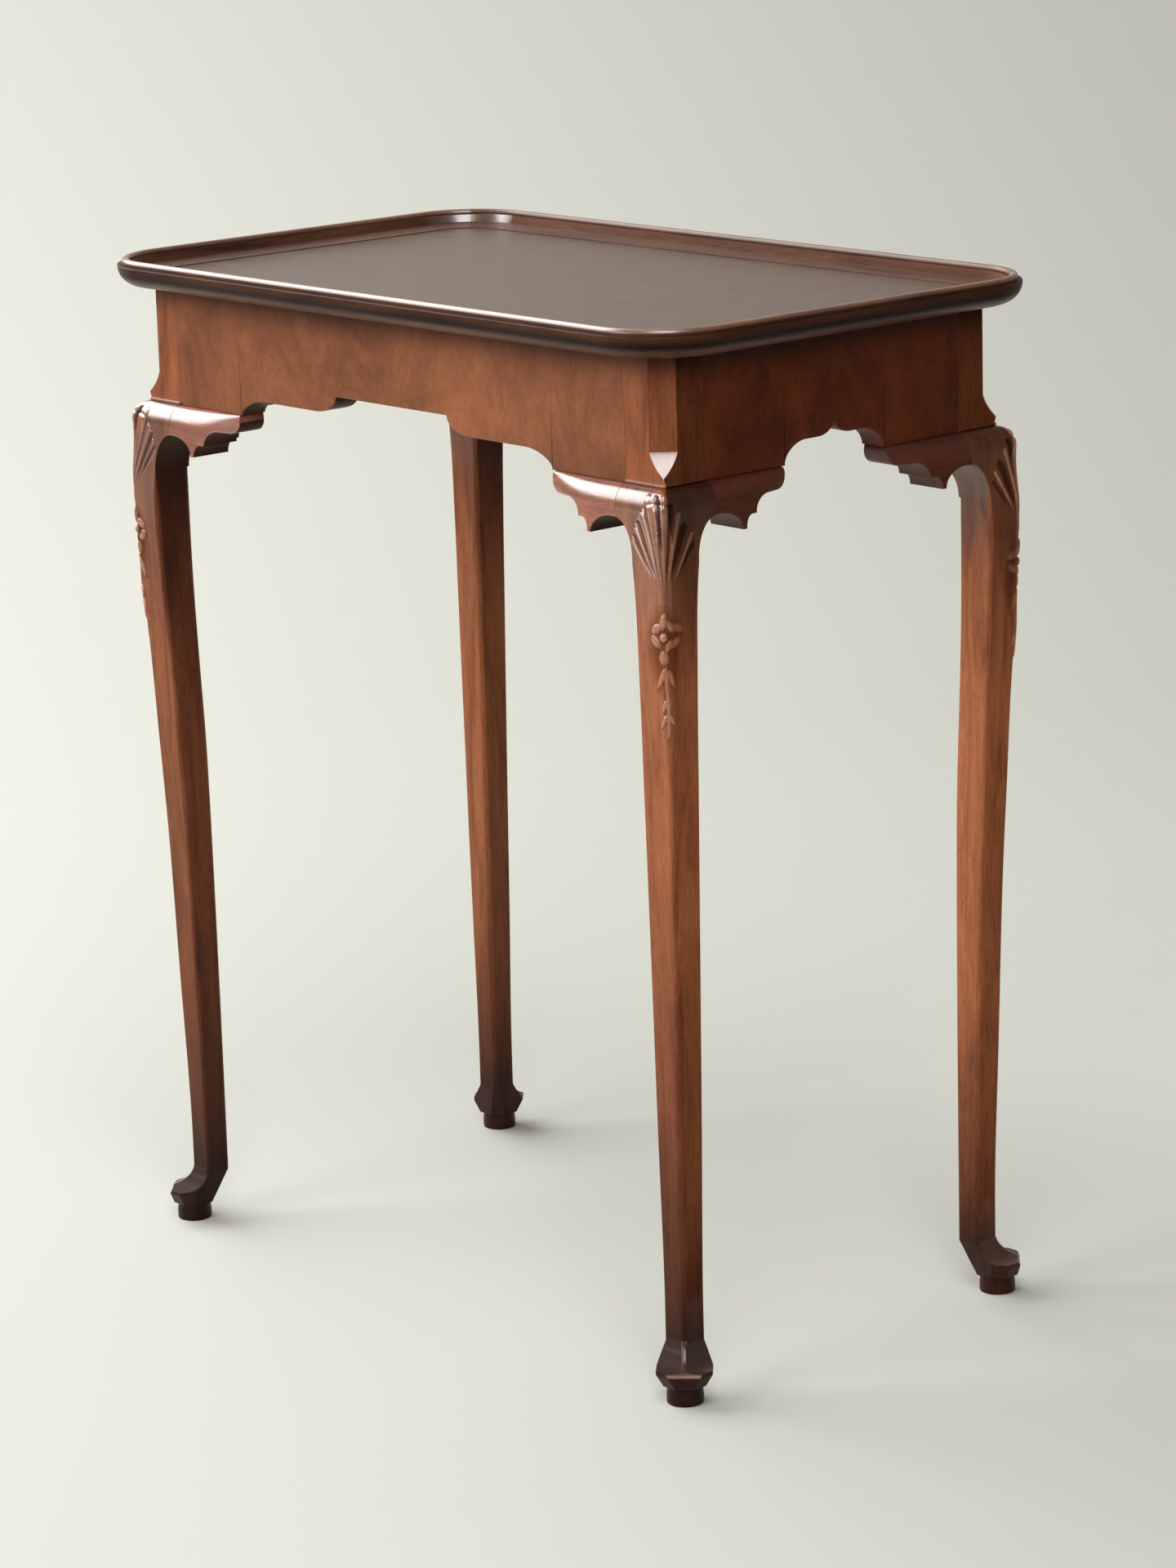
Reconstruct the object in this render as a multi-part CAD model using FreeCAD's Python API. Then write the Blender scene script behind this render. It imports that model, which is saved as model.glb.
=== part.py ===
"""Tray top tea table: a mitred tray on an apron frame with four cabriole legs.

The origin is on the floor under the middle of the top. X runs along the long side, -Y is
the front and +Z is up. All lengths are in millimetres.
"""
import FreeCAD, Part
import math
import os

from FreeCAD import Vector

# Overall sizes
table_height = 700.0
frame_length = 528.0
frame_depth = 296.0
overhang = 29.0
overrun = 5.0
root_two = math.sqrt(2.0)
quarter_share = 0.5523

# Tray panel and the moulded rim round it
tray_height = 19.0
tray_corner_radius = 56.0
panel_thickness = 8.0
panel_tongue = 5.0
panel_clearance = 0.3
rim_width = 31.0
rim_lap = 13.0
ovolo_lip = 0.9
bead_inset = 2.8
bead_width = 6.0
bead_height = 4.4
bead_drop = 3.4
rim_fillet = 1.4
rim_quirk = 2.6
cove_foot = 0.6

# Apron boards and the tenons that join them to the posts
apron_thickness = 20.0
apron_end_depth = 82.0
long_apron_centre_depth = 58.5
long_apron_lobe_depth = 70.3
short_apron_centre_depth = 57.0
short_apron_lobe_depth = 67.5
apron_reveal = 1.5
tenon_thickness = 8.0
tenon_inset = 6.0
tenon_length = 16.0
tenon_shoulder = 12.0
tenon_clearance = 0.2

# Shares of the way from an apron's middle to its bracket: flat centre, round lobe and hollow
# shoulder, and then how far the hollow bends towards its corner
long_apron_shares = (0.356, 0.144, 0.163, 0.45)
short_apron_shares = (0.0, 0.318, 0.432, 0.5)

# Posts and cabriole legs, measured from the outer corner of the post
post_width = 35.0
post_chamfer = 12.3
tongue_length = 17.0
tongue_stem = 6.0
knee_round = 10.0
knee_round_drop = 15.0
knee_projection = 12.0
knee_drop = 54.0
knee_inset = 17.7
arch_drop = 20.0
arch_rise = 27.0
ankle_height = 65.0
ankle_outer_inset = 2.1
ankle_inner_inset = 21.4
arris = 1.6
outer_line_shares = ((0.14, 0.85), (0.27, 0.63), (0.39, 0.49), (0.51, 0.35), (0.76, 0.16))
inner_line_shares = ((0.14, 0.95), (0.27, 0.61), (0.39, 0.25), (0.53, 0.07), (0.76, 0.0))
side_line_shares = ((0.14, 0.76), (0.27, 0.65), (0.51, 0.45), (0.76, 0.24))

# Toe, pad and disc under each leg
scoop_height = 41.0
toe_height = 23.4
toe_edge = 2.4
toe_projection = 12.5
toe_corner = 16.3
pad_half_width = 18.4
heel_height = 36.0
disc_height = 12.5
disc_radius = 12.2
disc_inset = 2.2
disc_flare = 0.8
sole_margin = 1.6

# Knee brackets, measured along the apron from the outer corner of the post
bracket_length = 102.5
bracket_nose_depth = 5.0
bracket_belly_depth = 13.2
bracket_nose_run = 8.5
bracket_scoop_start = 83.0
bracket_scoop_end = 70.5
bracket_scoop_depth = 24.0
bracket_step_start = 66.5
bracket_tip_start = 60.5
bracket_tip_end = 57.5
bracket_tip_depth = 32.5
bracket_arch_crown = 38.0
bracket_end_projection = 2.0
bracket_plan_shares = ((0.0, 1.0), (0.35, 0.93), (0.72, 0.58), (1.0, 0.0))

# Blocks that hold the tray down, and their screws
block_length = 50.0
block_width = 18.0
block_height = 18.0
block_chamfer = 6.0
block_spacing = 260.0
screw_radius = 2.0
screw_head_radius = 4.0
screw_head_height = 2.6
screw_bite = 6.0
screw_clearance = 0.15

# Places worked out from the sizes
tray_underside = table_height - tray_height
panel_top = tray_underside + panel_thickness
tray_length = frame_length + 2 * overhang
tray_depth = frame_depth + 2 * overhang
rabbet_inset = rim_width - rim_lap
knee_top = tray_underside - apron_end_depth
knee_height = knee_top - knee_drop
arch_top = knee_top - arch_drop
arch_spring = arch_top - arch_rise
toe_base = toe_height - toe_edge
block_screw_inset = (block_width - block_chamfer) / 2
block_underside = tray_underside - block_height


def line(start, end):
    return Part.LineSegment(start, end).toShape()


def quarter(start, corner, end, share=quarter_share):
    """A quarter of an ellipse, or flatter by its share, with its end tangents meeting at corner."""
    curve = Part.BezierCurve()
    first = start + (corner - start) * share
    second = end + (corner - end) * share
    curve.setPoles([start, first, second, end])
    return curve.toShape()


def round_corner(start, corner, end):
    """A quarter circle from start to end, which lie equally far from the corner that it rounds."""
    centre = start + end - corner
    middle = centre + (corner - centre) / root_two
    return Part.Arc(start, middle, end).toShape()


def falling_curve(points):
    """A smooth curve down through points, upright at both ends, with its height as parameter."""
    curve = Part.BSplineCurve()
    heights = [points[0].z - point.z for point in points]
    down = Vector(0, 0, -1)
    curve.interpolate(Points=points, Parameters=heights, InitialTangent=down, FinalTangent=down,
                      Scale=False)
    return curve.toShape()


def prism(edges, direction):
    """The solid that a closed outline sweeps along a direction."""
    wire = Part.Wire(Part.__sortEdges__(edges))
    return Part.Face(wire).extrude(direction)


def chain(points):
    return [line(start, end) for start, end in zip(points[:-1], points[1:])]


def box(low, high):
    size = high - low
    return Part.makeBox(size.x, size.y, size.z, low)


def rounded_rectangle(length, depth, radius, height):
    """A flat outline with rounded corners, centred on the origin, at a height."""
    reach_x = length / 2 - radius
    reach_y = depth / 2 - radius
    edges = []
    for quadrant in range(4):
        angle = quadrant * 90
        sign_x = (1, -1, -1, 1)[quadrant]
        sign_y = (1, 1, -1, -1)[quadrant]
        centre = Vector(sign_x * reach_x, sign_y * reach_y, height)
        edges.append(Part.makeCircle(radius, centre, Vector(0, 0, 1), angle, angle + 90))
    corners = [(edge.Vertexes[0].Point, edge.Vertexes[-1].Point) for edge in edges]
    links = [line(corners[i][1], corners[(i + 1) % 4][0]) for i in range(4)]
    return edges + links


def rim_section(outer_y):
    """The rim's moulding: ovolo, quirk, bead, fillet and cove, with a rabbet for the panel."""
    def at(inset, height):
        return Vector(0, outer_y + inset, tray_underside + height)

    shoulder = tray_height - bead_height
    bead_radius = bead_width / 2
    bead_spring = tray_height - bead_radius
    bead_middle = bead_inset + bead_radius
    bead_end = bead_inset + bead_width
    ovolo_radius = shoulder - ovolo_lip
    fillet_height = tray_height - bead_drop
    cove_start = bead_end + rim_fillet
    cove_top = fillet_height - rim_quirk
    cove_end = panel_thickness + cove_foot
    bead_top = Part.Arc(at(bead_inset, bead_spring), at(bead_middle, tray_height),
                        at(bead_end, bead_spring))
    cove_width = rim_width - cove_start
    cove_depth = cove_top - cove_end
    cove_radius = (cove_width ** 2 + cove_depth ** 2) / (2 * cove_depth)
    cove_middle = rim_width - cove_width / 2
    cove_rise = cove_radius - math.sqrt(cove_radius ** 2 - (cove_width / 2) ** 2)
    cove = Part.Arc(at(cove_start, cove_top), at(cove_middle, cove_end + cove_rise),
                    at(rim_width, cove_end))
    return [
        line(at(rabbet_inset, 0), at(ovolo_radius, 0)),
        round_corner(at(ovolo_radius, 0), at(0, 0), at(0, ovolo_radius)),
        round_corner(at(0, ovolo_radius), at(0, shoulder), at(ovolo_lip, shoulder)),
        line(at(ovolo_lip, shoulder), at(bead_inset, shoulder)),
        line(at(bead_inset, shoulder), at(bead_inset, bead_spring)),
        bead_top.toShape(),
        *chain([at(bead_end, bead_spring), at(bead_end, fillet_height),
                at(cove_start, fillet_height), at(cove_start, cove_top)]),
        cove.toShape(),
        *chain([at(rim_width, cove_end), at(rim_width, panel_tongue),
                at(rabbet_inset, panel_tongue), at(rabbet_inset, 0)]),
    ]


def rim_piece(length, depth):
    """One side of the rim along X at -depth / 2, with half of each rounded corner."""
    straight = length / 2 - tray_corner_radius
    section = Part.Face(Part.Wire(Part.__sortEdges__(rim_section(-depth / 2))))
    run = section.translated(Vector(-straight, 0, 0)).extrude(Vector(2 * straight, 0, 0))
    pieces = []
    for side in (-1, 1):
        pivot = Vector(side * straight, tray_corner_radius - depth / 2, 0)
        end = section.translated(Vector(side * straight, 0, 0))
        pieces.append(end.revolve(pivot, Vector(0, 0, 1), side * 45))
    return run.fuse(pieces).removeSplitter()


def panel_board(inset, thickness):
    """A board with the tray's outline drawn in by an inset."""
    outline = rounded_rectangle(tray_length - 2 * inset, tray_depth - 2 * inset,
                                tray_corner_radius - inset, tray_underside)
    return prism(outline, Vector(0, 0, thickness))


def tray_panel(screws):
    """The tray's board: a tongue under the rim's lap, a raised field and holes for the screws."""
    tongue = panel_board(rabbet_inset + panel_clearance, panel_tongue)
    field = panel_board(rim_width + panel_clearance, panel_thickness)
    board = tongue.fuse(field).removeSplitter()
    return board.cut([screw_shape(place, screw_clearance) for place in screws])


def half_scallop(corner_reach, centre_depth, lobe_depth, shares):
    """Half of an apron's lower edge: flat centre, round lobe, hollow shoulder and bracket flat."""
    def at(along, depth):
        return Vector(along, 0, tray_underside - depth)

    centre_share, lobe_share, shoulder_share, hollow_share = shares
    flat_start = corner_reach - bracket_length - apron_reveal
    centre_half = flat_start * centre_share
    lobe_start = centre_half + flat_start * lobe_share
    hollow_start = flat_start - flat_start * shoulder_share
    edges = [
        quarter(at(centre_half, centre_depth), at(centre_half, lobe_depth), at(lobe_start, lobe_depth)),
        line(at(lobe_start, lobe_depth), at(hollow_start, lobe_depth)),
        quarter(at(hollow_start, lobe_depth), at(flat_start, lobe_depth),
                at(flat_start, apron_end_depth), hollow_share),
        line(at(flat_start, apron_end_depth), at(corner_reach - post_width, apron_end_depth)),
    ]
    if centre_half:
        edges.append(line(at(0, centre_depth), at(centre_half, centre_depth)))
    return edges


def apron(corner_reach, centre_depth, lobe_depth, shares):
    """An apron along X with its outer face at y = 0, scalloped below, with a tenon at each end."""
    shoulder_edge = corner_reach - post_width
    half = half_scallop(corner_reach, centre_depth, lobe_depth, shares)
    half.append(line(Vector(shoulder_edge, 0, knee_top), Vector(shoulder_edge, 0, tray_underside)))
    mirrored = [edge.mirror(Vector(), Vector(1, 0, 0)) for edge in half]
    top = line(Vector(-shoulder_edge, 0, tray_underside), Vector(shoulder_edge, 0, tray_underside))
    board = prism(half + mirrored + [top], Vector(0, apron_thickness, 0))
    tenons = []
    for side in (-1, 1):
        tenon = box(Vector(shoulder_edge, tenon_inset, knee_top + tenon_shoulder),
                    Vector(shoulder_edge + tenon_length, tenon_inset + tenon_thickness,
                           tray_underside - tenon_shoulder))
        if side < 0:
            tenon = tenon.mirror(Vector(), Vector(1, 0, 0))
        tenons.append(tenon)
    return board.fuse(tenons).removeSplitter()


def line_stations(knee_place, ankle_place, shares):
    """Points from knee to ankle: a share of the height down and of the way across for each."""
    fall = knee_height - ankle_height
    points = [(knee_place, knee_height)]
    for down_share, left_share in shares:
        points.append((ankle_place + (knee_place - ankle_place) * left_share,
                       knee_height - fall * down_share))
    points.append((ankle_place, ankle_height))
    return points


def leg_outer_edges(at, scale, trim):
    """Knee and long curve on the outer side, from the knee's top to the ankle."""
    knee_place = -knee_projection * scale + trim
    round_place = -knee_round * scale + trim
    ankle_place = ankle_outer_inset * scale + trim
    stations = line_stations(knee_place, ankle_place, outer_line_shares)
    round_base = knee_top - knee_round_drop
    points = [at(round_place, round_base)] + [at(*station) for station in stations]
    return [
        quarter(at(0, knee_top), at(round_place, knee_top), at(round_place, round_base)),
        falling_curve(points),
    ]


def scooped_toe(at, sole_place):
    """The scoop that runs out over the toe on a sawn face, the toe's thin edge and its underside."""
    return [
        line(at(ankle_outer_inset, ankle_height), at(ankle_outer_inset, scoop_height)),
        quarter(at(ankle_outer_inset, scoop_height), at(ankle_outer_inset, toe_height),
                at(-toe_corner, toe_height)),
        line(at(-toe_corner, toe_height), at(-toe_corner, toe_base)),
        line(at(-toe_corner, toe_base), at(sole_place, disc_height)),
    ]


def cropped_toe(at, sole_place):
    """The softened arris that runs out under the ankle, and the upright cut across the toe's point."""
    ankle_place = ankle_outer_inset * root_two + arris
    return [
        line(at(ankle_place, ankle_height), at(-toe_projection, scoop_height)),
        line(at(-toe_projection, scoop_height), at(-toe_projection, toe_base)),
        line(at(-toe_projection, toe_base), at(sole_place, disc_height)),
    ]


def leg_inner_edges(at, scale, trim, sole_place):
    """The inner side from the knee down to the heel and the sole."""
    knee_place = knee_inset * scale - trim
    ankle_place = ankle_inner_inset * scale - trim
    stations = line_stations(knee_place, ankle_place, inner_line_shares)
    return [
        falling_curve([at(*station) for station in stations]),
        line(at(ankle_place, ankle_height), at(ankle_place, heel_height)),
        line(at(ankle_place, heel_height), at(sole_place, disc_height)),
    ]


def sawn_leg():
    """The leg as sawn to the same outline on two faces, in the corner's own frame.

    The post's outer corner is the frame's origin, and x and y both point into the table.
    """
    def at(inset, height):
        return Vector(inset, 0, height)

    sole_outer = disc_inset - disc_radius - sole_margin
    sole_inner = disc_inset + disc_radius + sole_margin
    outline = [
        line(at(0, tray_underside), at(0, knee_top)),
        *leg_outer_edges(at, 1, 0),
        *scooped_toe(at, sole_outer),
        line(at(sole_outer, disc_height), at(sole_inner, disc_height)),
        *leg_inner_edges(at, 1, 0, sole_inner),
        line(at(knee_inset, knee_height), at(knee_inset, arch_spring)),
        quarter(at(knee_inset, arch_spring), at(knee_inset, arch_top), at(post_width, arch_top)),
        line(at(post_width, arch_top), at(post_width, tray_underside)),
        line(at(post_width, tray_underside), at(0, tray_underside)),
    ]
    reach = post_width + 2 * toe_corner + 2 * overrun
    start = -toe_corner - overrun
    along_y = prism(outline, Vector(0, reach, 0)).translated(Vector(0, start, 0))
    return along_y.common(swap_xy(along_y))


def swap_xy(shape):
    """The mirror image across the corner's diagonal, which trades x for y."""
    return shape.mirror(Vector(), Vector(1, -1, 0))


def diagonal_trim():
    """The leg's outline on its diagonal: chamfered post, pointed stop, softened arris and toe."""
    def at(inset, height):
        return Vector(inset, 0, height)

    chamfer_inset = post_chamfer / root_two
    stop_bottom = knee_top + tongue_stem
    stop_top = stop_bottom + tongue_length
    stop_middle = (stop_bottom + stop_top) / 2
    clear_inset = post_width * root_two + overrun
    sole_outer = disc_inset * root_two - disc_radius - sole_margin
    sole_inner = disc_inset * root_two + disc_radius + sole_margin
    knee_inner = knee_inset * root_two - arris
    outline = [
        line(at(chamfer_inset, tray_underside), at(chamfer_inset, stop_top)),
        quarter(at(chamfer_inset, stop_top), at(chamfer_inset, stop_middle),
                at(chamfer_inset / 2, stop_middle)),
        quarter(at(chamfer_inset / 2, stop_middle), at(0, stop_middle), at(0, stop_bottom)),
        line(at(0, stop_bottom), at(0, knee_top)),
        *leg_outer_edges(at, root_two, arris),
        *cropped_toe(at, sole_outer),
        line(at(sole_outer, disc_height), at(sole_inner, disc_height)),
        *leg_inner_edges(at, root_two, arris, sole_inner),
        line(at(knee_inner, knee_height), at(clear_inset, arch_spring)),
        line(at(clear_inset, arch_spring), at(clear_inset, tray_underside)),
        line(at(clear_inset, tray_underside), at(chamfer_inset, tray_underside)),
    ]
    reach = post_width * root_two
    solid = prism(outline, Vector(0, 2 * reach, 0)).translated(Vector(0, -reach, 0))
    return solid.rotated(Vector(), Vector(0, 0, 1), 45)


def side_trim():
    """The leg's outline seen along the diagonal: softened side arrises and the flare of the pad."""
    def at(half_width, height):
        return Vector(0, half_width, height)

    knee_half = (knee_inset + knee_projection) / root_two - arris / 2
    ankle_half = (ankle_inner_inset - ankle_outer_inset) / root_two - arris
    wide_half = (post_width + knee_projection) / root_two + overrun
    sole_half = disc_radius + sole_margin
    stations = line_stations(knee_half, ankle_half, side_line_shares)
    half = [
        line(at(wide_half, tray_underside), at(wide_half, arch_spring)),
        line(at(wide_half, arch_spring), at(knee_half, knee_height)),
        falling_curve([at(*station) for station in stations]),
        line(at(ankle_half, ankle_height), at(ankle_half, scoop_height)),
        line(at(ankle_half, scoop_height), at(pad_half_width, toe_height)),
        line(at(pad_half_width, toe_height), at(pad_half_width, toe_base)),
        line(at(pad_half_width, toe_base), at(sole_half, disc_height)),
    ]
    mirrored = [edge.mirror(Vector(), Vector(0, 1, 0)) for edge in half]
    ends = [line(at(-half_width, height), at(half_width, height))
            for half_width, height in ((wide_half, tray_underside), (sole_half, disc_height))]
    reach = 2 * post_width
    solid = prism(half + mirrored + ends, Vector(2 * reach, 0, 0)).translated(Vector(-reach, 0, 0))
    return solid.rotated(Vector(), Vector(0, 0, 1), 45)


def disc():
    """The round pad that stands on the floor, a little wider at its foot."""
    outline = [Vector(0, 0, 0), Vector(disc_radius, 0, 0),
               Vector(disc_radius - disc_flare, 0, disc_height), Vector(0, 0, disc_height)]
    face = Part.Face(Part.makePolygon(outline + outline[:1]))
    turned = face.revolve(Vector(), Vector(0, 0, 1), 360)
    return turned.translated(Vector(disc_inset, disc_inset, 0))


def mortise():
    """The blind hole for an apron's tenon, with its clearance, on the post's x side."""
    low = Vector(post_width - tenon_length - tenon_clearance, tenon_inset - tenon_clearance,
                 knee_top + tenon_shoulder - tenon_clearance)
    high = Vector(post_width + overrun, tenon_inset + tenon_thickness + tenon_clearance,
                  tray_underside - tenon_shoulder + tenon_clearance)
    return box(low, high)


def leg():
    """Post, knee, curved leg, foot and disc as one piece, at the corner's origin."""
    shaped = sawn_leg().common(diagonal_trim()).common(side_trim())
    hole = mortise()
    return shaped.fuse(disc()).removeSplitter().cut([hole, swap_xy(hole)])


def bracket_section(along, projection):
    """The bracket's section across the apron: a round top that leaves the apron's face."""
    def at(out, height):
        return Vector(along, -out, height)

    back = -apron_thickness - overrun
    above = knee_top + overrun
    below = knee_top - bracket_tip_depth - overrun
    round_out = projection * knee_round / knee_projection
    round_base = knee_top - knee_round_drop
    edges = chain([at(round_out, round_base), at(projection, below), at(back, below),
                   at(back, above), at(0, above), at(0, knee_top)])
    edges.append(quarter(at(0, knee_top), at(round_out, knee_top), at(round_out, round_base)))
    return Part.Wire(Part.__sortEdges__(edges))


def bracket_outline():
    """The bracket's face: rounded nose, two hollow steps, pointed tip and half of the arch."""
    def at(along, depth):
        return Vector(along, 0, knee_top - depth)

    nose_start = bracket_length - apron_reveal
    belly_end = bracket_length - bracket_nose_run
    return [
        line(at(post_width, 0), at(nose_start, 0)),
        quarter(at(nose_start, 0), at(bracket_length, 0), at(bracket_length, bracket_nose_depth)),
        quarter(at(bracket_length, bracket_nose_depth), at(bracket_length, bracket_belly_depth),
                at(belly_end, bracket_belly_depth)),
        line(at(belly_end, bracket_belly_depth), at(bracket_scoop_start, bracket_belly_depth)),
        quarter(at(bracket_scoop_start, bracket_belly_depth),
                at(bracket_scoop_end, bracket_belly_depth), at(bracket_scoop_end, bracket_scoop_depth)),
        line(at(bracket_scoop_end, bracket_scoop_depth), at(bracket_step_start, bracket_scoop_depth)),
        quarter(at(bracket_step_start, bracket_scoop_depth),
                at(bracket_tip_start, bracket_scoop_depth), at(bracket_tip_start, bracket_tip_depth)),
        line(at(bracket_tip_start, bracket_tip_depth), at(bracket_tip_end, bracket_tip_depth)),
        quarter(at(bracket_tip_end, bracket_tip_depth), at(bracket_tip_end, arch_drop),
                at(bracket_arch_crown, arch_drop)),
        line(at(bracket_arch_crown, arch_drop), at(post_width, arch_drop)),
        line(at(post_width, arch_drop), at(post_width, 0)),
    ]


def knee_bracket():
    """A block beside the post, under the apron's end and proud of its face, along x."""
    run = bracket_length - post_width
    sections = [bracket_section(post_width - overrun, knee_projection)]
    for along_share, out_share in bracket_plan_shares:
        out = bracket_end_projection + (knee_projection - bracket_end_projection) * out_share
        sections.append(bracket_section(post_width + run * along_share, out))
    body = Part.makeLoft(sections, True, False)
    depth = knee_projection + apron_thickness + overrun
    face = prism(bracket_outline(), Vector(0, depth, 0))
    return face.translated(Vector(0, apron_thickness - depth, 0)).common(body)


def fixing_block():
    """A block in the angle of apron and tray, along x with its back at y = 0."""
    outline = [Vector(0, 0, tray_underside), Vector(0, block_width, tray_underside),
               Vector(0, block_width, block_underside + block_chamfer),
               Vector(0, block_width - block_chamfer, block_underside), Vector(0, 0, block_underside)]
    body = Part.Face(Part.makePolygon(outline + outline[:1])).extrude(Vector(block_length, 0, 0))
    body = body.translated(Vector(-block_length / 2, 0, 0))
    return body.cut(screw_shape(Vector(0, block_screw_inset, block_underside), screw_clearance))


def screw_shape(place, clearance):
    """A countersunk screw standing on its head at a place; clearance widens it into its hole."""
    neck = screw_radius + clearance
    rim = screw_head_radius + clearance
    tip = block_height + screw_bite + clearance
    point = tip - neck
    profile = [(0, 0), (rim, 0), (neck, screw_head_height), (neck, point), (0, tip)]
    outline = [Vector(radius, 0, height) for radius, height in profile]
    face = Part.Face(Part.makePolygon(outline + outline[:1]))
    return face.revolve(Vector(), Vector(0, 0, 1), 360).translated(place)


def turned_about_middle(shape, quarter_turns):
    return shape.rotated(Vector(), Vector(0, 0, 1), quarter_turns * 90)


def export(name, shape):
    shape.exportStep(os.path.join("parts", name + ".step"))


def block_places():
    """Name, quarter turns from the front, place along the apron and the apron's distance out."""
    inner_y = frame_depth / 2 - apron_thickness
    inner_x = frame_length / 2 - apron_thickness
    half = block_spacing / 2
    return [("front_left", 0, -half, inner_y), ("front_right", 0, half, inner_y),
            ("right", 1, 0, inner_x), ("back_right", 2, -half, inner_y),
            ("back_left", 2, half, inner_y), ("left", 3, 0, inner_x)]


def build_tray():
    front = rim_piece(tray_length, tray_depth)
    side = rim_piece(tray_depth, tray_length)
    for name, shape, turns in (("front", front, 0), ("right", side, 1), ("back", front, 2),
                               ("left", side, 3)):
        export("tray_rim_" + name, turned_about_middle(shape, turns))


def build_aprons():
    long_apron = apron(frame_length / 2, long_apron_centre_depth, long_apron_lobe_depth,
                       long_apron_shares)
    short_apron = apron(frame_depth / 2, short_apron_centre_depth, short_apron_lobe_depth,
                        short_apron_shares)
    front = long_apron.translated(Vector(0, -frame_depth / 2, 0))
    side = short_apron.translated(Vector(0, -frame_length / 2, 0))
    for name, shape, turns in (("front", front, 0), ("right", side, 1), ("back", front, 2),
                               ("left", side, 3)):
        export("apron_" + name, turned_about_middle(shape, turns))


def build_corners():
    """Four legs, and the two brackets beside each, by mirroring the front left corner."""
    corner = Vector(-frame_length / 2, -frame_depth / 2, 0)
    front_left_leg = leg().translated(corner)
    along_front = knee_bracket()
    along_side = swap_xy(along_front).translated(corner)
    along_front = along_front.translated(corner)
    for row, flip_y in (("front", False), ("back", True)):
        for end, flip_x in (("left", False), ("right", True)):
            shapes = [front_left_leg, along_front, along_side]
            if flip_x:
                shapes = [shape.mirror(Vector(), Vector(1, 0, 0)) for shape in shapes]
            if flip_y:
                shapes = [shape.mirror(Vector(), Vector(0, 1, 0)) for shape in shapes]
            export("leg_" + row + "_" + end, shapes[0])
            export("knee_bracket_" + row + "_" + end, shapes[1])
            export("knee_bracket_" + end + "_" + row, shapes[2])


def build_fixings():
    """Six screw blocks round the frame, their screws as one group, and the panel they hold."""
    block = fixing_block()
    places = []
    for name, turns, along, out in block_places():
        shape = block.translated(Vector(along, -out, 0))
        export("fixing_block_" + name, turned_about_middle(shape, turns))
        place = Vector(along, block_screw_inset - out, block_underside)
        places.append(FreeCAD.Rotation(Vector(0, 0, 1), turns * 90).multVec(place))
    export("fixing_screws", Part.makeCompound([screw_shape(place, 0) for place in places]))
    export("tray_panel", tray_panel(places))


os.makedirs("parts", exist_ok=True)
build_tray()
build_aprons()
build_corners()
build_fixings()
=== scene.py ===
# %% [markdown]
# # A tray top tea table
# This lesson dresses the bare solids of a small mahogany tea table. The table is a thin board with
# a moulded rim, set on a frame of four scalloped aprons and four cabriole legs with carved knees.
# The solids say where every piece is. The legs, brackets, aprons and rims are made again here as
# surfaces worked out with numpy, with the soft edges, the carving and the polish that the solids
# leave out.

# %% Load the frame
import math

import bpy
import numpy as np
from mathutils import Matrix, Vector


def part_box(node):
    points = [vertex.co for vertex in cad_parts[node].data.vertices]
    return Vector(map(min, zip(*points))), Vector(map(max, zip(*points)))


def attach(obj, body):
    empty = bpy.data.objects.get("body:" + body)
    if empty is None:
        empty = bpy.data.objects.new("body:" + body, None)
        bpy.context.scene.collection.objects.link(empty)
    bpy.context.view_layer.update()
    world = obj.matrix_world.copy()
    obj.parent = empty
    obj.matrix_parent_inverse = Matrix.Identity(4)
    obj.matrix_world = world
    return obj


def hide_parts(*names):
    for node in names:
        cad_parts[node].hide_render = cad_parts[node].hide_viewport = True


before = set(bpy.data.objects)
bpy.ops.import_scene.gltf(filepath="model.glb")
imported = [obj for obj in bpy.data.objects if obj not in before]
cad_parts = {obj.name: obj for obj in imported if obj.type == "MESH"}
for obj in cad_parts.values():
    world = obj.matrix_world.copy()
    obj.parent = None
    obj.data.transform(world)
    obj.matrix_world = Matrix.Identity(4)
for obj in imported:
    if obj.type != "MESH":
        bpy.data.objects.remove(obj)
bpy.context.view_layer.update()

# %% [markdown]
# ## Places taken from the solids
# A piece could be placed by eye, but then it would drift from what carries it. The boxes of a few
# solids give the planes that everything else is measured from: the faces of the frame, the
# underside of the tray and the top of the knees. Lengths below are in millimetres, because that
# is how a cabinet maker would say them, and they become metres when a mesh is made.

# %% Planes of the table
MM = 0.001
frame_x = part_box("apron_right")[1].x / MM
frame_y = -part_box("apron_front")[0].y / MM
tray_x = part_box("tray_rim_right")[1].x / MM
tray_y = -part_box("tray_rim_front")[0].y / MM
tray_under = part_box("apron_front")[1].z / MM
knee_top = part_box("knee_bracket_front_left")[1].z / MM
print("frame half sizes", round(frame_x, 2), round(frame_y, 2), "knee top", round(knee_top, 2))

# %% [markdown]
# ## Camera
# The camera stands beyond the front right corner, a little above the tray and far away, so the
# table looks almost without perspective. The angles and the distance follow from where the
# corners of the tray, the knees and the feet lie in the picture. The focal length is kept in
# pixels of the picture, and the lens in millimetres is worked out from the sensor's long side.

# %% Camera at the picture's angle
picture_height = 1920
focal_pixels = 5843.3
yaw, pitch, roll = math.radians(48.676), math.radians(13.979), math.radians(-1.603)
camera_place = Vector((2.40284, -2.09735, 1.13371))

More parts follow.
